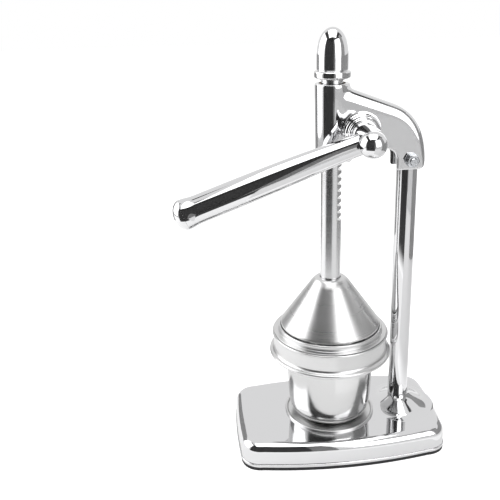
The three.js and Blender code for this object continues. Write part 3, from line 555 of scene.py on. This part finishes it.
# %% [markdown]
# The press cup is the casting inside the cone. Its hollow closes over the fruit,
# and its rim shows as a thin ring under the cone. A washer and a nut hold it on the ram's stud.
# %% Press cup and washer
PRESS_RIM = 112.6
STUD_HOLE = STUD_RADIUS + 0.3
WASHER_FOOT, WASHER_TOP = 138.1, 139.4
PRESS_CUP = [
    (STUD_HOLE, RAM_FOOT),
    (14.5, RAM_FOOT, 0.5),
    (41.9, CONE_FOOT),
    (41.9, PRESS_RIM, 0.6),
    (38.5, PRESS_RIM, 0.8),
    (37.4, 113.7),
    (33.2, 121.1, 3),
    (25.8, 128.8, 4),
    (16.6, 135.6, 3),
    (11.2, 139.2),
    (STUD_HOLE, WASHER_TOP),
]
PRESS_WASHER = [
    (STUD_HOLE, WASHER_FOOT),
    (9.5, WASHER_FOOT, 0.3),
    (9.5, WASHER_TOP, 0.3),
    (STUD_HOLE, WASHER_TOP),
]
turned("press_cup_casting", "ram", "cast_aluminium", "press_cup", PRESS_CUP)
turned("press_washer_ring", "ram", "zinc_steel", "press_washer", PRESS_WASHER, sides=SMALL_SIDES)

# %% [markdown]
# The bowl is drawn sheet: a band with a rolled bead on top and a broad lip below, which is
# folded over the cup's rim. Inside, its floor slopes to a hole that lets the juice through.
# %% Bowl
BOWL_FOOT = 86.5
BOWL = [
    (28, 82.5),
    (28, 83.5),
    (48.8, 90.5, 2),
    (49.8, 91.5, 0.8),
    (49.8, 104.5),
    (50.2, 104.6),
    (49.6, 105.7, 0.5),
    (50, 106.9, 0.7),
    (52, 106.9, 0.9),
    (52, 104.5, 0.9),
    (50.8, 104.3, 0.3),
    (50.8, 91, 1.4),
    (52.4, 89.9, 0.8),
    (54.6, 89.2, 1),
    (54.6, BOWL_FOOT, 0.9),
    (38, BOWL_FOOT),
    (38, 81),
    (37, 81),
    (37, 85.5),
]
turned("bowl_shell", "frame", "satin_steel", "bowl", BOWL, sides=LARGE_SIDES)

# %% [markdown]
# The juice cup is deep drawn: a round foot, a soft curve and a wall that widens to the top.
# %% Juice cup
CUP_FOOT, CUP_TOP = 24.8, 86.2
CUP = [
    (0, CUP_FOOT),
    (27.4, CUP_FOOT, 2.5),
    (33.6, 28, 3),
    (36.8, 34.8, 6),
    (37.8, 46),
    (39.6, CUP_TOP, 0.4),
    (38.6, CUP_TOP, 0.4),
    (36.8, 46),
    (35.8, 35.4, 5),
    (32.8, 28.9, 3),
    (27.2, CUP_FOOT + 1, 2.5),
    (0, CUP_FOOT + 1),
]
turned(
    "juice_cup_shell",
    "frame",
    "satin_steel",
    "juice_cup",
    CUP,
    sides=LARGE_SIDES,
    finish=bright_steel,
)

# %% [markdown]
# The seat is a shallow pressed dish in the base, with a rolled lip that keeps the cup in place.
# %% Cup seat
SEAT_FOOT, SEAT_LIP = 23.2, 26.3
SEAT = [
    (0, SEAT_FOOT),
    (41, SEAT_FOOT),
    (41, SEAT_LIP, 0.95),
    (39, SEAT_LIP, 0.95),
    (38.4, CUP_FOOT, 0.4),
    (0, CUP_FOOT),
]
turned("cup_seat_dish", "frame", "satin_steel", "cup_seat", SEAT, sides=LARGE_SIDES)

# %% [markdown]
# The strainer is one pressing: a dish that hangs on the bowl's bead, with a fluted reamer in the
# middle and a ring of holes round it. The dish is a plain spin. The reamer starts as one circle of
# vertices, which is extruded up level by level. Each level is scaled to the outline and every
# vertex is drawn in by the flutes, which fade out towards the tip.
# %% Strainer and reamer
FLUTES = 12
FLUTE_DEPTH = 2.6
REAMER_RADIUS = 33
REAMER_TIP = 2
REAMER_LEVELS = 24
LEVEL_CURVE = 1.35  # more than 1 sets the levels closer together towards the tip
REAMER_CURVE = 1.45  # more than 1 makes the sides bulge
REAMER_FOOT = 98.4
REAMER_SINK = 0.9  # how far the reamer's foot reaches into the dish's floor
REAMER_HEIGHT = 32
HOLES, HOLE_RADIUS, HOLE_SIDES, HOLE_CIRCLE = 16, 1.7, 20, 37.5
DRILL_MIDDLE, DRILL_LENGTH = 98, 8
DISH = [
    (30, REAMER_FOOT),
    (42, REAMER_FOOT, 1),
    (43.6, 99.9, 1),
    (44.2, 113.1, 0.7),
    (46.4, 113.1, 1),
    (46.4, 108.2, 0.6),
    (50.8, 108.2, 0.4),
    (50.8, 107.2, 0.4),
    (45.2, 107.2, 0.5),
    (44.4, 98.9, 1),
    (42.5, 97.4, 1),
    (30, 97.4),
]


def reamer():
    cone = bmesh.new()
    made = bmesh.ops.create_circle(cone, segments=FLUTES * 12, radius=REAMER_RADIUS * MM)
    bmesh.ops.translate(cone, vec=(0, 0, (REAMER_FOOT - REAMER_SINK) * MM), verts=made["verts"])
    edges = cone.edges[:]
    for level in range(1, REAMER_LEVELS + 1):
        share = 1 - (1 - level / REAMER_LEVELS) ** LEVEL_CURVE
        radius = REAMER_TIP + (REAMER_RADIUS - REAMER_TIP) * (1 - share**REAMER_CURVE)
        made = bmesh.ops.extrude_edge_only(cone, edges=edges)
        ring = [part for part in made["geom"] if isinstance(part, bmesh.types.BMVert)]
        edges = [part for part in made["geom"] if isinstance(part, bmesh.types.BMEdge)]
        for corner in ring:
            angle = math.atan2(corner.co.y, corner.co.x)
            wave = (1 - math.cos(FLUTES * angle)) / 2
            reach = (radius - FLUTE_DEPTH * (1 - share) * wave) * MM
            height = (REAMER_FOOT + share * REAMER_HEIGHT) * MM
            corner.co = (reach * math.cos(angle), reach * math.sin(angle), height)
    bmesh.ops.contextual_create(cone, geom=edges)
    bmesh.ops.recalc_face_normals(cone, faces=cone.faces[:])
    if cone.faces[0].normal.z < 0:
        bmesh.ops.reverse_faces(cone, faces=cone.faces[:])
    return cone


def strainer():
    dish = bmesh.new()
    outline(dish, DISH)
    spin_round(dish, LARGE_SIDES)
    whole = scratch_object(dish)
    for hole in range(HOLES):
        angle = 2 * math.pi / HOLES * hole
        drill = bmesh.new()
        bmesh.ops.create_cone(
            drill,
            cap_ends=True,
            segments=HOLE_SIDES,
            radius1=HOLE_RADIUS * MM,
            radius2=HOLE_RADIUS * MM,
            depth=DRILL_LENGTH * MM,
        )
        spot = (HOLE_CIRCLE * math.cos(angle), HOLE_CIRCLE * math.sin(angle), DRILL_MIDDLE)
        bmesh.ops.translate(drill, vec=Vector(spot) * MM, verts=drill.verts[:])
        combine(whole, scratch_object(drill), "DIFFERENCE")
    mesh = taken_back(whole)
    join_form(mesh, reamer())
    return mesh


as_piece("strainer_dish", strainer(), "frame", "satin_steel", ["strainer"])

# %% [markdown]
# The post is a plain bar with broken edges. It stands in the base and carries the head.
# %% Post
POST_Y, POST_RADIUS = 65.3, 9
POST_FOOT, POST_TOP = 17.6, 271
AT_POST = Matrix.Translation((0, POST_Y * MM, 0))
POST = [(0, POST_FOOT), (POST_RADIUS, POST_FOOT, 1), (POST_RADIUS, POST_TOP, 1), (0, POST_TOP)]
turned("post_bar", "frame", "mirror_chrome", "post", POST, AT_POST)

# %% [markdown]
# The base is a hollow casting with bowed sides on a sole that covers its underside, so here it is
# a closed form. The plan of its top is one face, drawn with four gentle curves and four corners.
# That face is inset outwards and moved down, step after step, which gives the round shoulder,
# the wall, a fine groove and the lip at the foot. The sole has the same plan.
# The swell round the post is a spin whose skirt runs out level with the top; its front is pressed
# in, so that it stops short of the cup's seat.
# %% Base and sole
FRONT, REAR, CORNER = -80.2, 93.9, 14
FRONT_HALF, REAR_HALF, WIDEST = 47, 45.2, 52.8
END_BOW = 2.6
SIDE_STEPS, CORNER_STEPS, END_STEPS = 28, 10, 16


def bow(start, pull, end, steps):
    """Points along a quadratic curve, without its last one."""
    made = []
    for step in range(steps):
        t = step / steps
        made.append(
            tuple(
                (1 - t) ** 2 * a + 2 * t * (1 - t) * b + t * t * c
                for a, b, c in zip(start, pull, end)
            )
        )
    return made


def half_plan(inset):
    """The plan's +X half, from the middle of the front to the middle of the rear."""
    front_y, rear_y, corner = FRONT + inset, REAR - inset, CORNER - inset
    front_half, rear_half = FRONT_HALF - inset, REAR_HALF - inset
    side = 2 * (WIDEST - inset) - (front_half + rear_half) / 2
    middle = (rear_y + front_y) / 2
    a, b = front_half - corner, rear_half - corner
    front = bow((-a, front_y), (0, front_y - END_BOW), (a, front_y), END_STEPS)[END_STEPS // 2 :]
    rear = bow((b, rear_y), (0, rear_y + END_BOW), (-b, rear_y), END_STEPS)[: END_STEPS // 2]
    return (
        front
        + bow((a, front_y), (front_half, front_y), (front_half, front_y + corner), CORNER_STEPS)
        + bow((front_half, front_y + corner), (side, middle), (rear_half, rear_y - corner), SIDE_STEPS)
        + bow((rear_half, rear_y - corner), (rear_half, rear_y), (b, rear_y), CORNER_STEPS)
        + rear
        + [(0, rear_y + END_BOW / 2)]
    )


def grown_from_plan(height, steps, inset=0):
    """A closed body under the plan: each step is how far out and how far down, in millimetres."""
    right = half_plan(inset)
    points = right + [(-x, y) for x, y in reversed(right[1:-1])]
    body = bmesh.new()
    corners = [body.verts.new((x * MM, y * MM, height * MM)) for x, y in reversed(points)]
    face = body.faces.new(corners)
    face.normal_update()
    for outwards, downwards in steps:
        bmesh.ops.inset_individual(
            body,
            faces=[face],
            thickness=-outwards * MM,
            depth=downwards * MM,
            use_even_offset=True,
        )
    rim = [edge for edge in body.edges if edge.is_boundary]
    bmesh.ops.holes_fill(body, edges=rim, sides=0)
    bmesh.ops.recalc_face_normals(body, faces=body.faces[:])
    return body


def quarter_steps(radius, count):
    """The steps of a quarter circle that starts level and ends upright."""
    turns = [math.pi / 2 * i / count for i in range(count + 1)]
    places = [(radius * math.sin(turn), -radius * math.cos(turn)) for turn in turns]
    return [(x1 - x0, y1 - y0) for (x0, y0), (x1, y1) in zip(places, places[1:])]


BASE_TOP = 24.4
SHOULDER = quarter_steps(8, 16)
SHOULDER_INSET = 2.8
WALL = [(0.05, 4.8), (0.05, 4.8)]
GROOVE = [(-0.6, 0.35), (0, 0.3), (0.6, 0.15)]
LIP_TOP = quarter_steps(0.55, 3)
LIP = [*LIP_TOP, (0, 1.6), *[(-down, out) for out, down in LIP_TOP]]
SOLE_TOP = 4.2
SOLE = [(5.45, 0), (0, 3.7), (-0.5, 0.5)]
SWELL_FRONT = 0.72
SWELL_TOP = 37
SKIRT_START, SKIRT_LOW, SKIRT_HIGH, SKIRT_END = (
    (33, BASE_TOP),
    (23, 27.2),
    (14, 32.2),
    (9.2, SWELL_TOP),
)
SWELL = [
    (0, 23.6),
    (34, 23.6),
    *bow(SKIRT_START, (28, BASE_TOP), SKIRT_LOW, 8),
    *bow(SKIRT_LOW, (18.5, 29.7), SKIRT_HIGH, 4),
    *bow(SKIRT_HIGH, (9.8, 34.6), SKIRT_END, 8),
    SKIRT_END,
    (0, SWELL_TOP),
]


def base_with_swell():
    base = grown_from_plan(BASE_TOP, [*SHOULDER, *WALL, *GROOVE, *LIP], SHOULDER_INSET)
    swell = bmesh.new()
    outline(swell, SWELL)
    spin_round(swell, SIDES)
    for corner in swell.verts:
        if corner.co.y < 0:
            corner.co.y *= SWELL_FRONT
    bmesh.ops.transform(swell, matrix=AT_POST, verts=swell.verts[:])
    join_form(base, swell)
    return base


as_piece("base_shell", base_with_swell(), "frame", "mirror_chrome", ["base_casting"])
as_piece("base_sole_sheet", grown_from_plan(SOLE_TOP, SOLE), "frame", "black_rubber", ["base_sole"])

# %% [markdown]
# The head is one casting: a tube that guides the ram, an arch of two walls behind it and a boss on
# each side for the shaft. On the real part everything runs together in soft hollows, because it is
# ground and buffed. So the arch and the tube are joined, turned into an even skin by a voxel remesh
# and smoothed a lot. Then the lower edge and the tube's two ends are cut, the bosses are joined and
# a second, lighter smoothing softens all creases. The cavity and the bores come last, so that they
# stay crisp.
# %% Head casting
HEAD_FOOT = 255.2
HEAD_HALF = 12
ARCH_FOOT = 241
ARCH_PEAK, ARCH_BACK = 325.6, 78.1
ARCH_ROUND, ARCH_ROUND_STEPS = 6, 8
GUIDE_TOP = 328
GUIDE = [(0, 246), (13.7, 246), (14.7, 344), (0, 344)]
NEAR_BOSS = [(0, 0), (15, 0), (15, 17.2, 1.8), (12.4, 17.2, 0.4), (12.4, 20.3, 1.4), (0, 20.3)]
FAR_BOSS = [(0, 0), (13.2, 0), (13.2, -16.5, 1.2), (0, -16.5)]
CAVITY_HALF = 9.3
CAVITY = [(3.5, 271.8), (14.6, 271.8), (14.6, 250), (43, 250), (43, 304.5), (22.5, 314.9), (3.5, 314.9)]
BELOW, ABOVE = 250, 330
RAM_BORE, BUSH_BORE, SHAFT_BORE, POST_BORE = 9.7, 11.1, 9.1, 9.3
UPPER_BUSH_FOOT, LOWER_BUSH_TOP, SOCKET_TOP = 312, 271.4, 271.3


def arch_plate():
    """The arch's outer form: a slab with a broad rounding all round its contour."""
    curve = bow((53.4, 308.7), (74.8, 299.6), (ARCH_BACK, 270), 16)
    contour = [
        (0, ARCH_FOOT),
        (ARCH_BACK, ARCH_FOOT),
        (ARCH_BACK, 270),
        *reversed(curve),
        (9, ARCH_PEAK),
        (0, ARCH_PEAK),
    ]
    slab = extruded(contour, 0, -HEAD_HALF, HEAD_HALF)
    rims = [
        edge
        for edge in slab.edges
        if abs(edge.verts[0].co.x - edge.verts[1].co.x) < WELD
        and min(corner.co.z for corner in edge.verts) > (ARCH_FOOT + 0.5) * MM
        and max(corner.co.y for corner in edge.verts) > MM
    ]
    bmesh.ops.bevel(
        slab,
        geom=rims,
        offset=ARCH_ROUND * MM,
        offset_type="OFFSET",
        segments=ARCH_ROUND_STEPS,
        profile=0.5,
        affect="EDGES",
        material=-1,
    )
    return slab


def window():
    """What is kept of the arch and the tube: what lies between the lower edge and the tube's top."""
    under = bow((45, 274), (53.3, 271), (53.3, 263.8), 8)
    points = [
        (-2, 264),
        (13.4, 264),
        (22.5, 273.2),
        *under,
        (53.3, 256.2),
        (54.3, HEAD_FOOT),
        *bow((71.5, HEAD_FOOT), (77.5, HEAD_FOOT), (77.5, 262.5), 8),
        (78.6, 270),
        (78.6, GUIDE_TOP),
        (-20, GUIDE_TOP),
        (-20, 262),
        (-2, 262),
    ]
    return extruded(points, 0, -18, 18)


def even_skin(thing, voxel_mm, rounds):
    """Turns joined forms into one skin of even squares and smooths it that many times."""
    skin = thing.modifiers.new("even skin", "REMESH")
    skin.mode, skin.voxel_size = "VOXEL", voxel_mm * MM
    buffing = thing.modifiers.new("buffed", "SMOOTH")
    buffing.factor, buffing.iterations = 0.5, rounds
    settle(thing)


def simple_turn(points, place=UPRIGHT):
    """A plain turned body as a scratch object."""
    body = bmesh.new()
    outline(body, points)
    spin_round(body, SIDES)
    bmesh.ops.transform(body, matrix=place, verts=body.verts[:])
    return scratch_object(body)


def rod(radius, low, high, place=UPRIGHT):
    """A plain round rod from one height to another as a scratch object."""
    return simple_turn([(0, low), (radius, low), (radius, high), (0, high)], place)


AT_SHAFT = along_x(SHAFT_Y, SHAFT_Z)
AT_BOLT = along_x(POST_Y, 263.8)


def head():
    whole = scratch_object(arch_plate())
    combine(whole, simple_turn(GUIDE), "UNION")
    even_skin(whole, voxel_mm=0.8, rounds=70)
    combine(whole, scratch_object(window()), "INTERSECT")
    combine(whole, simple_turn(NEAR_BOSS, AT_SHAFT), "UNION")
    combine(whole, simple_turn(FAR_BOSS, AT_SHAFT), "UNION")
    even_skin(whole, voxel_mm=0.5, rounds=20)
    print("head skin:", len(whole.data.polygons), "faces")
    mouth = [(-POST_BORE, 45), (POST_BORE, 45), (POST_BORE, POST_Y), (-POST_BORE, POST_Y)]
    for cutter in (
        scratch_object(extruded(CAVITY, 0, -CAVITY_HALF, CAVITY_HALF)),
        rod(RAM_BORE, BELOW, ABOVE),
        rod(BUSH_BORE, UPPER_BUSH_FOOT, ABOVE),
        rod(BUSH_BORE, BELOW, LOWER_BUSH_TOP),
        rod(SHAFT_BORE, -20, 24, AT_SHAFT),
        scratch_object(extruded(mouth, 2, BELOW, SOCKET_TOP)),
        rod(POST_BORE, BELOW, SOCKET_TOP, AT_POST),
    ):
        combine(whole, cutter, "DIFFERENCE")
    return taken_back(whole)


as_piece("head_casting_skin", head(), "frame", "mirror_chrome", ["head_casting"])

# %% [markdown]
# Bushes, washers and the shaft are small turned parts. They share one table:
# name, body, finish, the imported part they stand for, where they lie, and the outline.
# %% Small turned parts
def ring(inner, outer, low, high):
    """A flat or a long ring with its outer edges broken."""
    return [(inner, low), (outer, low, 0.25), (outer, high, 0.25), (inner, high)]


SHAFT_RADIUS, CLIP_GROOVE_RADIUS = 6, 5.2
SHAFT = [
    (0, -20.6),
    (SHAFT_RADIUS, -20.6, 0.7),
    (SHAFT_RADIUS, -18.9),
    (CLIP_GROOVE_RADIUS, -18.9),
    (CLIP_GROOVE_RADIUS, -17.5),
    (SHAFT_RADIUS, -17.5),
    (SHAFT_RADIUS, 52.7),
    (0, 52.7),
]
SMALL_PARTS = [
    ("guide_bush_top", "frame", "bronze", "guide_bush_upper", UPRIGHT, ring(9.3, 10.8, 312, 325)),
    ("guide_bush_foot", "frame", "bronze", "guide_bush_lower", UPRIGHT, ring(9.3, 10.8, 262.4, 271.4)),
    ("shaft_bush_near", "frame", "bronze", "pinion_bush_near", AT_SHAFT, ring(6.3, 8.8, 9.3, 20.3)),
    ("shaft_bush_far", "frame", "bronze", "pinion_bush_far", AT_SHAFT, ring(6.3, 8.8, -16.4, -9.3)),
    ("bolt_washer_near", "frame", "zinc_steel", "head_washer_near", AT_BOLT, ring(3.3, 6, 12, 13)),
    ("bolt_washer_far", "frame", "zinc_steel", "head_washer_far", AT_BOLT, ring(3.3, 6, -13, -12)),
    ("shaft_washer_ring", "lever", "zinc_steel", "shaft_washer", AT_SHAFT, ring(6.3, 10, -17.5, -16.55)),
    ("shaft_bar", "lever", "zinc_steel", "pinion_shaft", AT_SHAFT, SHAFT),
]
for name, body, slot, replaced, place, points in SMALL_PARTS:
    turned(name, body, slot, replaced, points, place, SMALL_SIDES)

# %% [markdown]
# The lever is a short cross bar that ends in a ball, and a handle that swells towards its flared
# end. All three are turned; the handle lies 20 degrees below level and leaves the ball a little
# below the bar's axis. Where they meet, the real one has plain creases, so the closed forms
# simply run into each other.
# %% Lever
LEVER_TILT = math.radians(20.2)
BALL = (54.5, 21.5, 288)
BALL_RADIUS = 10.8
CROSS_BAR_START, CROSS_BAR_END, CROSS_BAR_RADIUS = 20.6, BALL[0], 10.4
CROSS_BAR = [
    (0, CROSS_BAR_START),
    (CROSS_BAR_RADIUS, CROSS_BAR_START, 0.7),
    (CROSS_BAR_RADIUS, CROSS_BAR_END),
    (0, CROSS_BAR_END),
]
HANDLE_X = 40
HANDLE_SLIM, HANDLE_FULL, HANDLE_FLARE = 8.6, 11.5, 12.6
HANDLE_START, HANDLE_END = 2, 156
BELLY_START, BELLY_LENGTH, BELLY_EXPONENT = 14, 48, 1.5
FLARE_LENGTH, FLARE_STEPS = 11, 10
HANDLE_DROP, DROP_LENGTH = 1.2, 60
DOME_START, DOME_RISE, DOME_STEPS = 156.1, 8.8, 16
AT_HANDLE = Matrix.Translation((HANDLE_X * MM, SHAFT_Y * MM, SHAFT_Z * MM)) @ Matrix.Rotation(
    math.pi / 2 + LEVER_TILT, 4, "X"
)


def belly(reach):
    """The handle's radius: slim at the ball, then fuller and fuller more slowly."""
    share = 1 - math.exp(-(max(0, reach - BELLY_START) / BELLY_LENGTH) ** BELLY_EXPONENT)
    return HANDLE_SLIM + (HANDLE_FULL - HANDLE_SLIM) * share


def flare(step):
    """A point of the short flare at the end, which starts and ends along the handle."""
    share = (1 - math.cos(math.pi * step / FLARE_STEPS)) / 2
    return (
        HANDLE_FULL + (HANDLE_FLARE - HANDLE_FULL) * share,
        HANDLE_END - FLARE_LENGTH * (1 - step / FLARE_STEPS),
    )


def handle_points():
    return [
        (0, HANDLE_START),
        (HANDLE_SLIM, HANDLE_START),
        *[(belly(reach), reach) for reach in range(8, 144, 6)],
        *[flare(step) for step in range(FLARE_STEPS + 1)],
        (0, HANDLE_END),
    ]


def dome_points():
    """The end's cap: a low dome over a thin flat rim."""
    turns = [math.pi / 2 * step / DOME_STEPS for step in range(DOME_STEPS)]
    rim = DOME_START - 0.08
    return [
        (0, rim),
        (HANDLE_FLARE - 0.1, rim),
        *[(HANDLE_FLARE * math.cos(turn), DOME_START + DOME_RISE * math.sin(turn)) for turn in turns],
        (0, DOME_START + DOME_RISE),
    ]


def lever():
    arm = bmesh.new()
    outline(arm, CROSS_BAR)
    spin_round(arm, SIDES)
    bmesh.ops.transform(arm, matrix=AT_SHAFT, verts=arm.verts[:])
    bmesh.ops.create_uvsphere(
        arm,
        u_segments=SIDES,
        v_segments=64,
        radius=BALL_RADIUS * MM,
        matrix=Matrix.Translation(Vector(BALL) * MM) @ Matrix.Rotation(math.pi / 2, 4, "Y"),
    )
    handle = bmesh.new()
    outline(handle, handle_points())
    spin_round(handle, SIDES)
    for corner in handle.verts:
        corner.co.y -= HANDLE_DROP * MM * max(0, 1 - corner.co.z / (DROP_LENGTH * MM)) ** 2
    bmesh.ops.transform(handle, matrix=AT_HANDLE, verts=handle.verts[:])
    join_form(arm, handle)
    return arm


as_piece("lever_arm_bar", lever(), "lever", "mirror_chrome", ["lever_arm"])
turned("lever_end_dome", "lever", "mirror_chrome", "lever_end_cap", dome_points(), AT_HANDLE)

# %% [markdown]
# The studio is a white table in a white room with one soft lamp above and one on each side.
# Chrome only looks like chrome when it has something dark to show, so photographers stand dark
# boards round it. Here they are curved sheets, spun from one edge, that only reflections see.
# The table shines a little by itself, but only for the camera, which makes it as white as the room
# and leaves its shadows.
# %% Table and room
TABLE_COLOUR = "#EAEAEA"
TABLE_LIFT = 0.5
TABLE_HALF = 4
LAMINATE_PATCH_MM = 40
ROOM_LIGHT = 0.8  # how strong the room's white is as light; what sees it directly sees 1


def matt_white_laminate():
    material, tree, shader, place = new_finish("matt white laminate", TABLE_COLOUR, 0.6, 0)
    gloss = spread(tree, patches(tree, place, LAMINATE_PATCH_MM), 0.55, 0.65)
    tree.links.new(gloss, shader.inputs["Roughness"])
    sight = add_node(tree, "ShaderNodeLightPath")
    lift = add_node(
        tree,
        "ShaderNodeMath",
        {0: sight.outputs["Is Camera Ray"], 1: TABLE_LIFT},
        operation="MULTIPLY",
    )
    shader.inputs["Specular IOR Level"].default_value = 0
    shader.inputs["Emission Color"].default_value = (1, 1, 1, 1)
    tree.links.new(lift.outputs[0], shader.inputs["Emission Strength"])
    return material


table = bmesh.new()
bmesh.ops.create_grid(table, x_segments=1, y_segments=1, size=TABLE_HALF)
floor = scratch_object(table, "table_top")
floor.data.materials.append(matt_white_laminate())

world = bpy.data.worlds.new("white room")
bpy.context.scene.world = world
world.use_nodes = True
air = world.node_tree
paths = add_node(air, "ShaderNodeLightPath")
seen = add_node(
    air,
    "ShaderNodeMath",
    {0: paths.outputs["Is Camera Ray"], 1: paths.outputs["Is Glossy Ray"]},
    operation="MAXIMUM",
)
seen = add_node(
    air,
    "ShaderNodeMath",
    {0: seen.outputs[0], 1: paths.outputs["Is Transmission Ray"]},
    operation="MAXIMUM",
)
level = add_node(
    air,
    "ShaderNodeMapRange",
    {"Value": seen.outputs[0], "To Min": ROOM_LIGHT, "To Max": 1.0},
)
air.links.new(level.outputs["Result"], air.nodes["Background"].inputs["Strength"])
air.nodes["Background"].inputs["Color"].default_value = (1, 1, 1, 1)
print("made", floor.name, "and", world.name)

# %% [markdown]
# The camera stands where the photographer's stood: on the lever's side, a little in front,
# looking down 18 degrees. Its place was worked out from the press's real outline in the picture.
# %% Camera
FOCAL_PIXELS = 722.1
IMAGE_PIXELS = 500
CENTRE_X, CENTRE_Y = 270, 212
LOOK_ACROSS = math.radians(83.95)
LOOK_DOWN = math.radians(18.19)
ROLL = math.radians(1.02)
EYE = Vector((580.1, -114.1, 412.2)) * MM
SENSOR_MM = 36


def look():
    """The camera's place and turn: across the picture, down and round its own axis."""
    ahead = Vector((-math.sin(LOOK_ACROSS), math.cos(LOOK_ACROSS), 0))
    right = Vector((math.cos(LOOK_ACROSS), math.sin(LOOK_ACROSS), 0))
    down = Vector((0, 0, -1))
    forward = ahead * math.cos(LOOK_DOWN) + down * math.sin(LOOK_DOWN)
    up = ahead * math.sin(LOOK_DOWN) - down * math.cos(LOOK_DOWN)
    turned_right = right * math.cos(ROLL) - up * math.sin(ROLL)
    turned_up = up * math.cos(ROLL) + right * math.sin(ROLL)
    axes = Matrix((turned_right, turned_up, -forward)).transposed()
    return Matrix.Translation(EYE) @ axes.to_4x4()


camera = bpy.data.objects.new("camera", bpy.data.cameras.new("camera"))
bpy.context.scene.collection.objects.link(camera)
camera.matrix_world = look()
camera.data.sensor_width = SENSOR_MM
camera.data.lens = SENSOR_MM * FOCAL_PIXELS / IMAGE_PIXELS
camera.data.shift_x = (IMAGE_PIXELS / 2 - CENTRE_X) / IMAGE_PIXELS
camera.data.shift_y = (CENTRE_Y - IMAGE_PIXELS / 2) / IMAGE_PIXELS
camera.data.clip_start = 0.01
bpy.context.scene.camera = camera
bpy.context.scene.view_settings.view_transform = "Standard"
print("camera lens:", camera.data.lens, "mm")

# %% [markdown]
# Angles in the studio are counted round the ram from the camera's side, positive to the right.
# Each lamp is a soft box that faces the press; the camera itself doesn't see it.
# %% Lamps
CAMERA_SIDE = math.atan2(EYE.y, EYE.x)
MIDDLE_HEIGHT = 0.18


def soft_box(name, turn, lift, distance, width, height, power):
    """A rectangular lamp that looks at the middle of the press."""
    lamp = bpy.data.lights.new(name, "AREA")
    lamp.shape, lamp.size, lamp.size_y, lamp.energy = "RECTANGLE", width, height, power
    made = bpy.data.objects.new(name, lamp)
    bpy.context.scene.collection.objects.link(made)
    angle = CAMERA_SIDE + math.radians(turn)
    rise = math.radians(lift)
    way = Vector(
        (math.cos(angle) * math.cos(rise), math.sin(angle) * math.cos(rise), math.sin(rise))
    )
    made.location = way * distance + Vector((0, 0, MIDDLE_HEIGHT))
    made.rotation_euler = way.to_track_quat("Z", "Y").to_euler()
    made.visible_camera = False
    print(name, "gives", power, "W")


soft_box("lamp_left", turn=-91, lift=22, distance=0.75, width=0.72, height=0.8, power=3.9)
soft_box("lamp_right", turn=42, lift=25, distance=0.75, width=0.5, height=0.66, power=2.3)
soft_box("lamp_above", turn=0, lift=80, distance=0.9, width=0.8, height=0.8, power=5)

# %% [markdown]
# The boards are covered with felt. The black one in front gives the knob, the handle and the post
# their dark bands. Two sheets that only reflections see lie on the white table as painted shade:
# a dark strip in front, which fades to the table's white near the press, so that the bands end
# softly, and a pale grey one on the right, which keeps the table from showing pure white in the post.
# Grey boards left and right darken the edges of the upright bars, and two high ones show in the
# tops of the round forms.
# Each row: name, first and last angle, distance, lowest and highest edge in metres, and colour.
# A sheet that lies on the table also has the distance of its outer edge.
# %% Boards
# Painted shade: distances from the press over which the sheets on the table fade from white to their
# colour.
SHADE_FADE = (0.36, 0.46)
CARD_SHADE_FADE = (0.12, 0.2)
ON_TABLE = 0.001


def felt_with_shade_fade(name, colour, near, far):
    """Felt that fades to the table's white towards the press, between two distances from it; on the
    sheets that lie on the table, colour and fade are painted shade.
    """
    material, tree, shader, place = new_finish(name, colour, 0.9, 0)
    reach = add_node(tree, "ShaderNodeVectorMath", {0: place}, operation="LENGTH").outputs["Value"]
    fade = add_node(
        tree,
        "ShaderNodeMapRange",
        {"Value": reach, "From Min": near, "From Max": far},
        interpolation_type="SMOOTHSTEP",
    )
    shade = add_node(
        tree,
        "ShaderNodeMix",
        {"Factor": fade.outputs["Result"], "A": (1, 1, 1, 1), "B": linear_colour(colour)},
        data_type="RGBA",
    )
    tree.links.new(shade.outputs["Result"], shader.inputs["Base Color"])
    return material


def board(name, first, last, distance, low, high, colour, far=None, fade=SHADE_FADE):
    """A curved sheet round the press, upright or from distance out to far, for reflections only."""
    sheet = bmesh.new()
    start = CAMERA_SIDE + math.radians(first)
    way = Vector((math.cos(start), math.sin(start), 0))
    foot = way * distance + Vector((0, 0, low))
    top = way * (far or distance) + Vector((0, 0, high))
    corners = [sheet.verts.new(foot), sheet.verts.new(top)]
    edge = sheet.edges.new(corners)
    bmesh.ops.spin(
        sheet,
        geom=[*corners, edge],
        cent=(0, 0, 0),
        axis=(0, 0, 1),
        angle=math.radians(last - first),
        steps=24,
    )
    made = scratch_object(sheet, name)
    made.data.materials.append(felt_with_shade_fade(name + " felt", colour, *fade))
    for rays in ("camera", "diffuse", "transmission", "shadow"):
        setattr(made, "visible_" + rays, False)


board("board_front", -57, 10, 0.8, 0.0, 1.5, "#2C2C2C")
board("board_front_edge", 10, 19, 0.8, 0.0, 1.5, "#757575")
# Painted shade: a dark sheet on the table that only reflections see, white near the press and dark
# further out.
board("painted_shade_on_table", -57, 14, 0.36, ON_TABLE, ON_TABLE, "#2C2C2C", far=0.8)
# Painted shade: a pale grey sheet on the table that only reflections see, so the table shows light grey
# in the post.
board("pale_painted_shade_on_table", 14, 120, 0.12, ON_TABLE, ON_TABLE, "#D2D2D2", far=0.8, fade=CARD_SHADE_FADE)
board("board_right", 68, 96, 0.5, 0.0, 0.85, "#8E8E8E")
board("board_right_low", 96, 140, 0.5, 0.0, 0.32, "#8C8C8C")
board("board_left_low", -140, -110, 0.5, 0.0, 0.32, "#8C8C8C")
board("board_low_right", 19, 66, 0.7, 0.0, 0.18, "#CCCCCC")
board("board_high_left", -118, -57, 1.0, 0.95, 1.9, "#484848")
board("board_high_right", 19, 108, 1.0, 0.95, 1.9, "#484848")
